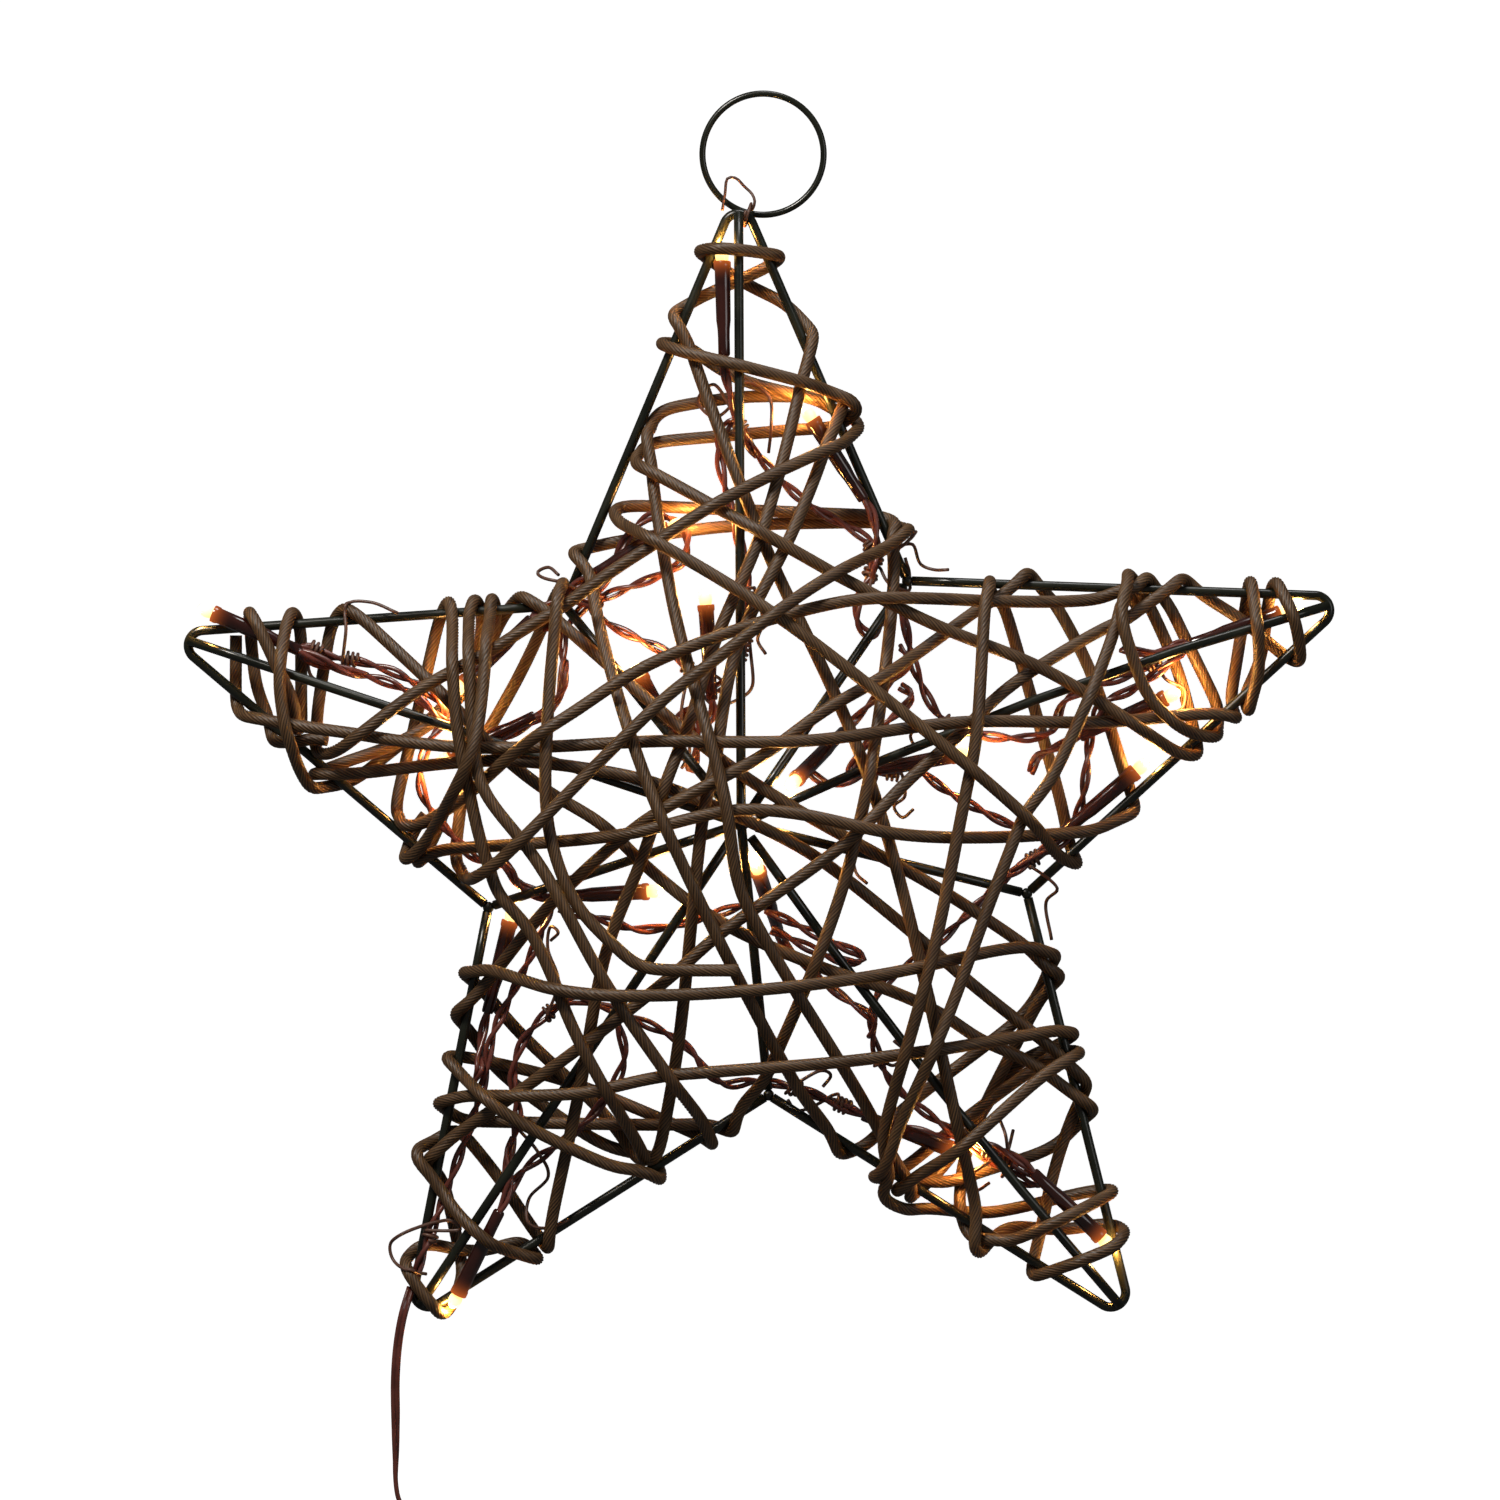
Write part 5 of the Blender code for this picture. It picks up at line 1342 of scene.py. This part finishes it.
lamp_shape = turned_by_hand(
    [
        (lamp_radius * 0.8, GAP - SOCKET_DEPTH),
        (lamp_radius, GAP * 2 - SOCKET_DEPTH),
        (lamp_radius, 0.0002),
        (lamp_radius * 1.16, LAMP_PROUD * 0.30),
        (lamp_radius * 1.20, LAMP_PROUD * 0.55),
        (lamp_radius * 1.08, LAMP_PROUD * 0.82),
        (lamp_radius * 0.80, LAMP_PROUD * 1.06),
        (lamp_radius * 0.42, LAMP_PROUD * 1.20),
        (lamp_radius * 0.10, LAMP_PROUD * 1.24),
    ],
    20,
)
print("holder faces", len(holder_shape.data.polygons), "lamp faces", len(lamp_shape.data.polygons))


# %% Holders and lamps in their places
LAMP_POWER = 0.075
LAMP_LIGHT_RADIUS = 0.0022
LAMP_LIGHT_AHEAD = 0.0024


def add_lamp_light(number, mouth, tail):
    """The light that a lamp gives, from just outside its glass."""
    data = bpy.data.lights.new(f"lamp_light_{number:02d}", "POINT")
    data.color = (1.0, 0.45, 0.10)
    data.energy = LAMP_POWER
    data.shadow_soft_size = LAMP_LIGHT_RADIUS
    light = bpy.data.objects.new(data.name, data)
    light.location = to_world([mouth + unit(mouth - tail) * (LAMP_PROUD + LAMP_LIGHT_AHEAD)])[0]
    scene.collection.objects.link(light)


axes = holder_axes(wires, LIGHTS)
all_axes = axes + holder_axes(wires, [HIDDEN_LIGHT])
for number, (mouth, tail) in enumerate(all_axes, 1):
    holder = copied_to(holder_shape, f"holder_{number:02d}", mouth, tail, HOLDER)
    bulb = copied_to(lamp_shape, f"bulb_{number:02d}", mouth, tail, GLASS)
    if number <= len(axes):
        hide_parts(f"lamp_holder_{number:02d}")
        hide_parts(f"lamp_{number:02d}")
    add_lamp_light(number, mouth, tail)
for shape in (holder_shape, lamp_shape):
    bpy.data.objects.remove(shape, do_unlink=True)
print("holders", len(all_axes))

# %% [markdown]
# ## The light string's cable
#
# The cable is a pair of single wires twisted round each other. Its middle line is laid slack between
# the outline and the ribs, and each wire is then carried round that line, half a turn from the other.

# %% Twisted pair
CABLE_WIRE_DIAMETER = 0.0019
CABLE_PITCH = 0.028
LOOSER_EVERY = 0.013


def wound_pair(name, line, pitch, apart, sides):
    """Two wires carried round a middle line of world places, half a turn from each other."""
    across, up = frames_along(line)
    angle = (length_along(line) / pitch * math.tau)[:, None]
    offset = apart * (np.cos(angle) * across + np.sin(angle) * up)
    section = round_section(CABLE_WIRE_DIAMETER, sides)
    sides_of_line = (("a", line + offset), ("b", line - offset))
    return [swept(f"{name}_{letter}", path, section, CABLE) for letter, path in sides_of_line]


def twisted_pair(name, line):
    """A length of cable, its wires closer in some places than in others."""
    line = followed(evenly(to_world(line), 0.001), within=0.0001, longest=0.0022)
    looser = np.sin(length_along(line)[:, None] / LOOSER_EVERY) ** 2
    return wound_pair(name, line, CABLE_PITCH, CABLE_WIRE_DIAMETER / 2 * (1.02 + 0.25 * looser), 10)


cable = light_cable_line(wires, holder_blocks(axes))
for wire in twisted_pair("cable_wire", cable):
    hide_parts("light_cable")
print("cable length", round(length_along(cable)[-1], 3), "m")

# %% [markdown]
# Each holder's own two wires come out of its tail and run in a slack bend to the cable. They are short,
# so a smooth line through five places is enough: straight out of the tail first, and along the cable at
# the end.

# %% Holder tails
TAIL_PITCH = 0.030
TAIL_INSIDE = 0.001
TAIL_STRAIGHT = 0.005
TAIL_SLACK = 0.012
TAIL_REACH = 0.010
TAIL_END = 0.006
POINTS_AHEAD = 8


def tail_route(mouth, tail):
    """A slack line from a holder's tail to a near place on the cable."""
    out = unit(tail - mouth)
    nearest = int(np.linalg.norm(cable - (tail + out * TAIL_REACH), axis=1).argmin())
    along = unit(cable[min(nearest + POINTS_AHEAD, len(cable) - 1)] - cable[nearest])
    if along @ out < 0:
        along = -along
    joins = cable[nearest] + along * TAIL_REACH
    beside = joins + unit(np.array([0.0, 0.0, 1.0]) + 0.2 * out) * CABLE_DIAMETER
    halfway = (tail + out * TAIL_SLACK + beside) / 2
    inside, straight = tail - out * TAIL_INSIDE, tail + out * TAIL_STRAIGHT
    return smooth([inside, straight, halfway, beside, joins + along * TAIL_END])


def make_tails():
    longest = 0.0
    for number, (mouth, tail) in enumerate(all_axes, 1):
        line = to_world(tail_route(mouth, tail))
        longest = max(longest, length_along(line)[-1])
        wound_pair(f"tail_wire_{number:02d}", line, TAIL_PITCH, CABLE_WIRE_DIAMETER / 2 * 1.03, 8)
    print("holder tails", len(all_axes), "longest", round(longest * 1000), "mm")


make_tails()

# %% [markdown]
# ## The lead, its tie and its plug
#
# The lead's section is two circles side by side, joined by a thin web. It is carried along its route
# with its wide side held across the coil, so the turns lie flat on each other.

# %% Supply lead
def twin_section(width, sides):
    """Two round wires side by side, as one outline."""
    radius = width / 4
    half = sides // 2
    right = np.linspace(-math.pi * 0.88, math.pi * 0.88, half)
    left = right + math.pi
    places = [(radius + radius * math.cos(a), radius * math.sin(a)) for a in right]
    places += [(-radius + radius * math.cos(a), radius * math.sin(a)) for a in left]
    return np.array(places)


TURNS_EDGEWAYS = (0.040, 0.072)


def make_lead():
    """The lead hangs with its wide side to the front and turns edgeways before it is wound up."""
    route = lead_route(cable[0] + unit(cable[0] - cable[1]) * GAP * 2)
    line = to_world(route)
    turned = np.interp(length_along(line), TURNS_EDGEWAYS, (0.0, math.pi / 2))
    side = np.column_stack([np.cos(turned), np.sin(turned), 0 * turned])
    piece = swept("lead", line, twin_section(LEAD_DIAMETER, 20), CABLE, side=side)
    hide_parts("supply_lead", "lead_coil")
    print("lead length", round(length_along(line)[-1], 3), "m")
    return piece, line


lead, lead_line_world = make_lead()

# %% [markdown]
# The plug is a small moulded one with two flat blades. Its body starts as a cube that is narrowed
# towards the lead, gets rounded edges and three pressed-in grip lines on each wide side, and ends in a
# ringed collar that keeps the lead from bending sharply.

# %% Plug
PLUG_WIDTH, PLUG_LENGTH, PLUG_THICKNESS = 0.022, 0.027, 0.013
RELIEF_LENGTH = 0.010
BLADE_LENGTH, BLADE_WIDTH, BLADE_THICKNESS, BLADE_SPACING = 0.0155, 0.0063, 0.0015, 0.0127
BLADE_INSIDE = 0.002


def selected_faces(piece, wanted):
    """Selects the faces that a test picks, from edit mode and back to it."""
    bpy.ops.mesh.select_all(action="DESELECT")
    bpy.ops.mesh.select_mode(type="FACE")
    bpy.ops.object.mode_set(mode="OBJECT")
    for face in piece.data.polygons:
        face.select = bool(wanted(face))
    bpy.ops.object.mode_set(mode="EDIT")


def plug_top(forward):
    x, z = coil_middle()
    outer = COIL_RADIUS + COIL_THICKNESS / 2
    drop = math.sqrt(outer**2 - (COIL_RADIUS - LEAD_DIAMETER * 0.75) ** 2) + GAP
    return (x + COIL_RADIUS, z - drop, forward)


def box_begun(place, size):
    """A cube stretched to a size, in edit mode."""
    bpy.ops.object.select_all(action="DESELECT")
    bpy.ops.mesh.primitive_cube_add(size=1.0, location=place)
    piece = bpy.context.object
    piece.scale = size
    bpy.ops.object.transform_apply(location=True, rotation=True, scale=True)
    bpy.ops.object.mode_set(mode="EDIT")
    return piece


def box_finished(piece, width, segments, sharpest):
    """The box out of edit mode, with the edges that are sharper than an angle rounded."""
    bpy.ops.object.mode_set(mode="OBJECT")
    rounded = piece.modifiers.new("rounded", "BEVEL")
    rounded.width = width
    rounded.segments = segments
    rounded.limit_method = "ANGLE"
    rounded.angle_limit = math.radians(sharpest)
    bpy.ops.object.modifier_apply(modifier="rounded")
    bpy.ops.object.shade_smooth_by_angle(angle=math.radians(35))


def make_plug(top):
    x, y, z = to_world([top])[0]
    middle = (x, y, z - RELIEF_LENGTH - PLUG_LENGTH / 2)
    body = box_begun(middle, (PLUG_WIDTH, PLUG_THICKNESS, PLUG_LENGTH))
    selected_faces(body, lambda face: face.normal.z > 0.9)
    bpy.ops.transform.resize(value=(0.72, 0.72, 1.0), center_override=(x, y, z - RELIEF_LENGTH))
    bpy.ops.mesh.select_all(action="SELECT")
    bpy.ops.mesh.subdivide(number_cuts=9)
    for k in (-1, 0, 1):
        height = z - RELIEF_LENGTH - PLUG_LENGTH * (0.45 + 0.2 * k / 2)
        selected_faces(
            body,
            lambda face: abs(face.normal.y) > 0.7
            and abs(face.center.z - height) < PLUG_LENGTH * 0.052
            and abs(face.center.x - x) < PLUG_WIDTH * 0.26,
        )
        bpy.ops.mesh.inset(thickness=0.0003, depth=-0.0005)
    box_finished(body, PLUG_THICKNESS * 0.16, 4, 60)
    body = modelled("plug_body", PLUG)
    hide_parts("plug")
    return body


def make_collar(top):
    """The ringed collar round the lead, over the plug's narrow end."""
    rings = [(LEAD_DIAMETER * 1.15, -RELIEF_LENGTH - 0.001)]
    for k in range(4):
        base = -RELIEF_LENGTH * (0.95 - 0.24 * k)
        wide = LEAD_DIAMETER * (1.1 - 0.09 * k)
        rings += [(wide, base), (wide, base + RELIEF_LENGTH * 0.13)]
        rings.append((wide * 0.82, base + RELIEF_LENGTH * 0.15))
    rings.append((LEAD_DIAMETER * 0.62, -0.0002))
    piece = turned_by_hand(rings, 24)
    piece.data.transform(Matrix.Translation(Vector(to_world([top])[0])))
    bpy.context.view_layer.objects.active = piece
    collar = modelled("plug_collar", PLUG)
    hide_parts("plug")
    return collar


def make_blade(number, top):
    x, y, z = to_world([top])[0]
    low = z - RELIEF_LENGTH - PLUG_LENGTH
    place = (x + (number - 1.5) * BLADE_SPACING, y, low - BLADE_LENGTH / 2 + BLADE_INSIDE / 2)
    blade = box_begun(place, (BLADE_THICKNESS, BLADE_WIDTH, BLADE_LENGTH + BLADE_INSIDE))
    selected_faces(blade, lambda face: face.normal.z < -0.9)
    bpy.ops.transform.resize(value=(0.55, 0.72, 1.0), center_override=(place[0], y, low - BLADE_LENGTH))
    box_finished(blade, 0.0003, 3, 30)
    blade = modelled(f"plug_blade_{number}", METAL)
    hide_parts("plug")
    return blade


top_of_plug = plug_top(cable[0][2])
plug_pieces = [make_plug(top_of_plug), make_collar(top_of_plug)]
plug_pieces += [make_blade(number, top_of_plug) for number in (1, 2)]
print("plug pieces", [piece.name for piece in plug_pieces])

# %% [markdown]
# A twist tie goes twice round the coil's turns at its upper left and ends in a short free end. The cord
# is then declared with its length, its route and all that hangs on it.

# %% Coil tie
def coil_tie(forward):
    x, z = coil_middle()
    points = []
    for turn in np.linspace(0.0, 2.4, 60):
        bearing = math.radians(118 - 5 * turn)
        angle = turn * math.tau
        out = COIL_RADIUS + 0.0047 * math.cos(angle)
        place = (x + out * math.cos(bearing), z + out * math.sin(bearing))
        points.append((*place, forward + 0.0079 * math.sin(angle)))
    a, b, c = points[-1]
    points += [(a - 0.003, b + 0.001, c + 0.002), (a - 0.007, b - 0.001, c + 0.001)]
    points.append((a - 0.010, b - 0.005, c))
    return smooth(points, 0.001)


tie = swept("tie_coil", to_world(coil_tie(cable[0][2])), round_section(TIE_DIAMETER, 8), TIE)

# %% [markdown]
# ## The rattan strands
#
# Three long strands make the star. Each runs over the front, round the outline wire, over the back and
# round again. The front passes are laid one by one in the order in which they cover each other, each
# pulled tight over what lies under it. Then all three are pushed apart a little wherever they still
# touch, so no strand runs through another.

# %% Laying the strands
def turn_round(front, outside, back):
    """A turn round the outline wire, from one pass's end, out past the wire, to the next pass's start."""
    angles = np.linspace(0, math.pi, 16)[1:-1, None]
    share = (1 - np.cos(angles)) / 2
    inner = front + (back - front) * share
    outer = plan(outside)
    if len(outer) > 1:
        outer = smooth(outer)
    stops = np.linspace(0, 1, len(outer))
    outer = np.column_stack([np.interp(share[:, 0], stops, column) for column in outer.T])
    places = inner[:, :2] + (outer - inner[:, :2]) * np.sin(angles)
    return np.column_stack([places, inner[:, 2]])


def relaxed(line, times):
    """A line whose bends have opened a little, as a stiff strand's do."""
    for _ in range(times):
        line = np.vstack([line[:1], 0.25 * line[:-2] + 0.5 * line[1:-1] + 0.25 * line[2:], line[-1:]])
    return line


def lay_strands(fixed):
    """Every strand's centre line, its front passes laid on each other in their order."""
    radius = (STRAND_DIAMETER + LAY_GAP) / 2
    rests = radius + WIRE_DIAMETER / 2
    passes = []
    for name, route in STRANDS.items():
        layers = iter(FRONT_LAYERS[name])
        for number, (kind, *points) in enumerate(route):
            if kind != "round":
                passes.append((next(layers) if kind == "front" else 0, name, number, kind, points))
    blocks, laid = fixed, {}
    for _, name, number, kind, points in sorted(passes):
        side = 1 if kind == "front" else -1
        line = smooth(plan(points))
        least = clear_height(line, radius, blocks, side)
        for end in (0, -1):
            stands = rests + (rise_at(line[end]) if kind == "front" else 0.0)
            least[end] = max(least[end], stands)
        line = flat(line, side * pulled_tight(length_along(line), least))
        laid[name, number] = line
        blocks = np.vstack([blocks, as_blocks(line, radius)])
    lines = []
    for name, route in STRANDS.items():
        line = []
        for number, (kind, *points) in enumerate(route):
            if kind == "round":
                line.append(turn_round(laid[name, number - 1][-1], points, laid[name, number + 1][0]))
            else:
                line.append(laid[name, number])
        lines.append(relaxed(evenly(np.vstack(line)), 12))
    lines = moved_apart(lines, radius, fixed)
    return moved_apart([relaxed(line, 3) for line in lines], radius, fixed)


GROOVE_DEPTH = 0.87
RIB_PITCH = 0.026


def grooved_section(diameter, grooves):
    """A round section with narrow pressed grooves, a few points for each."""
    places = []
    for k in range(grooves):
        for share, depth in ((0.0, 1.0), (RIB_ENDS, 1.0), (GROOVE_AT, GROOVE_DEPTH)):
            angle = (k + share) / grooves * math.tau
            places.append((diameter / 2 * depth * math.cos(angle), diameter / 2 * depth * math.sin(angle)))
    return np.array(places)


def make_strands():
    ring = ring_line(96)
    fixed = [wire_blocks(wires), as_blocks(np.vstack([ring, ring[:1]]), RING_WIRE_DIAMETER / 2)]
    fixed += [as_blocks(tie_line(), TIE_DIAMETER / 2), holder_blocks(axes)]
    fixed += [as_blocks(line, CABLE_DIAMETER / 2) for line in (cable, lead_route(cable[0])[:60])]
    section = grooved_section(STRAND_DIAMETER, GROOVES)
    lines = dict(zip(STRANDS, lay_strands(np.vstack(fixed))))
    for name, line in lines.items():
        path = followed(evenly(to_world(line), 0.0006), within=0.00005, longest=0.0016)
        strand = swept("strand_" + name, path, section, RATTAN, turn_every=RIB_PITCH)
        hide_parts("rattan_strand_" + name)
        print(name, "strand", round(length_along(path)[-1], 2), "m,", len(strand.data.polygons), "faces")
    return lines


strand_lines = make_strands()

# %% [markdown]
# ## Loose cable and twist ties
#
# The string is longer than the star needs, so more of its cable lies loose between the strands, and
# short plastic-coated wires are twisted round it here and there. Each tie winds a few times round the
# nearest cable and ends in a curl. All of them are pushed clear of what is already there.

# %% Loose cable
def standing_pieces():
    """Everything made so far, as blocks that later pieces keep clear of."""
    blocks = [wire_blocks(wires), holder_blocks(all_axes), as_blocks(cable, CABLE_DIAMETER / 2)]
    blocks += [as_blocks(line, STRAND_DIAMETER / 2) for line in strand_lines.values()]
    return np.vstack(blocks)


def make_loose_cables():
    lines = []
    for route in LOOSE_CABLES:
        line = smooth(plan(route))
        lines.append(flat(line, slack_height(line)))
    lines = moved_apart(lines, CABLE_DIAMETER / 2 + GAP, standing_pieces())
    for number, line in enumerate(lines, 1):
        twisted_pair(f"loose_cable_{number}", line)
    print("loose cables", len(lines))
    return lines


loose_cables = make_loose_cables()


# %% Twist ties
TWIST_TIE_DIAMETER = 0.0013
WRAP_PITCH = 1.4
TIE_WAVE = 0.003


def twist_tie(place, turns, ends, cables):
    """A tie's line: its turns round the nearest cable, then its free end."""
    place = plan(place)
    nearest = min(cables, key=lambda line: np.linalg.norm(line[:, :2] - place, axis=1).min())
    at = int(np.linalg.norm(nearest[:-3, :2] - place, axis=1).argmin())
    along = unit(nearest[at + 3] - nearest[at])
    ahead = unit(np.array([0.0, 0.0, 1.0]) - along * along[2])
    across = np.cross(along, ahead)
    radius = (CABLE_DIAMETER + TWIST_TIE_DIAMETER) / 2 + GAP
    wound = np.arange(0.0, turns, 1 / 12)[:, None]
    angle = wound * math.tau
    wraps = nearest[at] + wound * WRAP_PITCH * TWIST_TIE_DIAMETER * along
    wraps = wraps + radius * (np.cos(angle) * ahead + np.sin(angle) * across)
    free = plan(ends)
    rising = wraps[-1, 2] + TIE_WAVE * np.sin(np.arange(1, len(free) + 1) * 2.0)
    return smooth(np.vstack([wraps, flat(free, rising)]), 0.0012)


def make_twist_ties():
    cables = [cable, *loose_cables]
    lines = [twist_tie(place, turns, ends, cables) for place, turns, ends in TWIST_TIES]
    blocks = np.vstack([standing_pieces(), *(as_blocks(line, CABLE_DIAMETER / 2) for line in loose_cables)])
    lines = moved_apart(lines, (TWIST_TIE_DIAMETER + GAP) / 2, blocks, rounds=3)
    for number, line in enumerate(lines, 1):
        path = followed(evenly(to_world(line), 0.0006), within=0.00003, longest=0.003)
        swept(f"twist_tie_{number:02d}", path, round_section(TWIST_TIE_DIAMETER, 8), TIE)
    print("twist ties", len(lines))


make_twist_ties()

# %% [markdown]
# ## Floor and light
#
# The photograph is a cut-out on white. A pale round floor that bends up into a wall all round gives the
# same white ground from every side. It is only a ground to look at: it is left out of the light that
# falls on the star, or the dark wires would turn grey.

# %% Floor and backdrop
FLOOR_DROP = 0.68
WALL_RADIUS = 6.5
WALL_BEND = 0.9
WALL_TOP = 5.0
GROUND_SIDES = 64
GROUND_GLOW = 0.92


def pale_ground():
    finish, tree, shader = new_finish(
        "pale_ground", Base_Color=(0.9, 0.9, 0.9), Roughness=0.9, Emission_Color=(1.0, 1.0, 1.0)
    )
    glow = ranged(tree, grain(tree, 3.0), 0.3, 0.7, GROUND_GLOW, GROUND_GLOW * 1.02)
    tree.links.new(glow, shader.inputs["Emission Strength"])
    return finish


def make_ground():
    """A floor that bends up into a round wall."""
    bottom = -FLOOR_DROP
    profile = [(0.5, bottom), (WALL_RADIUS - WALL_BEND, bottom)]
    for angle in np.linspace(0, math.pi / 2, 10)[1:]:
        out, up = WALL_BEND * math.sin(angle), WALL_BEND * (1 - math.cos(angle))
        profile.append((WALL_RADIUS - WALL_BEND + out, bottom + up))
    profile.append((WALL_RADIUS, WALL_TOP))
    sides = GROUND_SIDES
    angles = np.arange(sides) * math.tau / sides
    verts = [(radius * math.cos(a), radius * math.sin(a), z) for radius, z in profile for a in angles]
    faces = [tuple(range(sides))]
    for low in range(0, (len(profile) - 1) * sides, sides):
        for k in range(sides):
            k1 = (k + 1) % sides
            faces.append((low + k, low + sides + k, low + sides + k1, low + k1))
    mesh = bpy.data.meshes.new("ground")
    mesh.from_pydata(verts, [], faces)
    mesh.polygons.foreach_set("use_smooth", [len(face) == 4 for face in faces])
    mesh.materials.append(pale_ground())
    ground = bpy.data.objects.new("ground", mesh)
    scene.collection.objects.link(ground)
    ground.visible_diffuse = ground.visible_glossy = False


make_ground()


# %% Studio lights
AIMS_AT = Vector((0.0, 0.0, -0.24))


def soft_light(name, place, size, power, colour=(1.0, 1.0, 1.0)):
    data = bpy.data.lights.new(name, "AREA")
    data.shape = "DISK"
    data.size = size
    data.energy = power
    data.color = colour
    light = bpy.data.objects.new(name, data)
    light.location = place
    light.rotation_euler = (AIMS_AT - Vector(place)).to_track_quat("-Z", "Y").to_euler()
    scene.collection.objects.link(light)


WORLD_LIGHT = 0.09
world = bpy.data.worlds.new("studio")
world.use_nodes = True
background = world.node_tree.nodes["Background"]
background.inputs["Color"].default_value = (1.0, 1.0, 1.0, 1.0)
background.inputs["Strength"].default_value = WORLD_LIGHT
scene.world = world
scene.view_settings.view_transform = "Standard"
soft_light("key", (-0.8, -1.3, 1.3), 0.5, 34.0, (1.0, 0.95, 0.88))
soft_light("fill", (1.6, -1.5, 0.2), 1.0, 5.0)
soft_light("top", (0.2, -0.3, 1.9), 0.8, 12.0)
print("lights", len(bpy.data.lights))
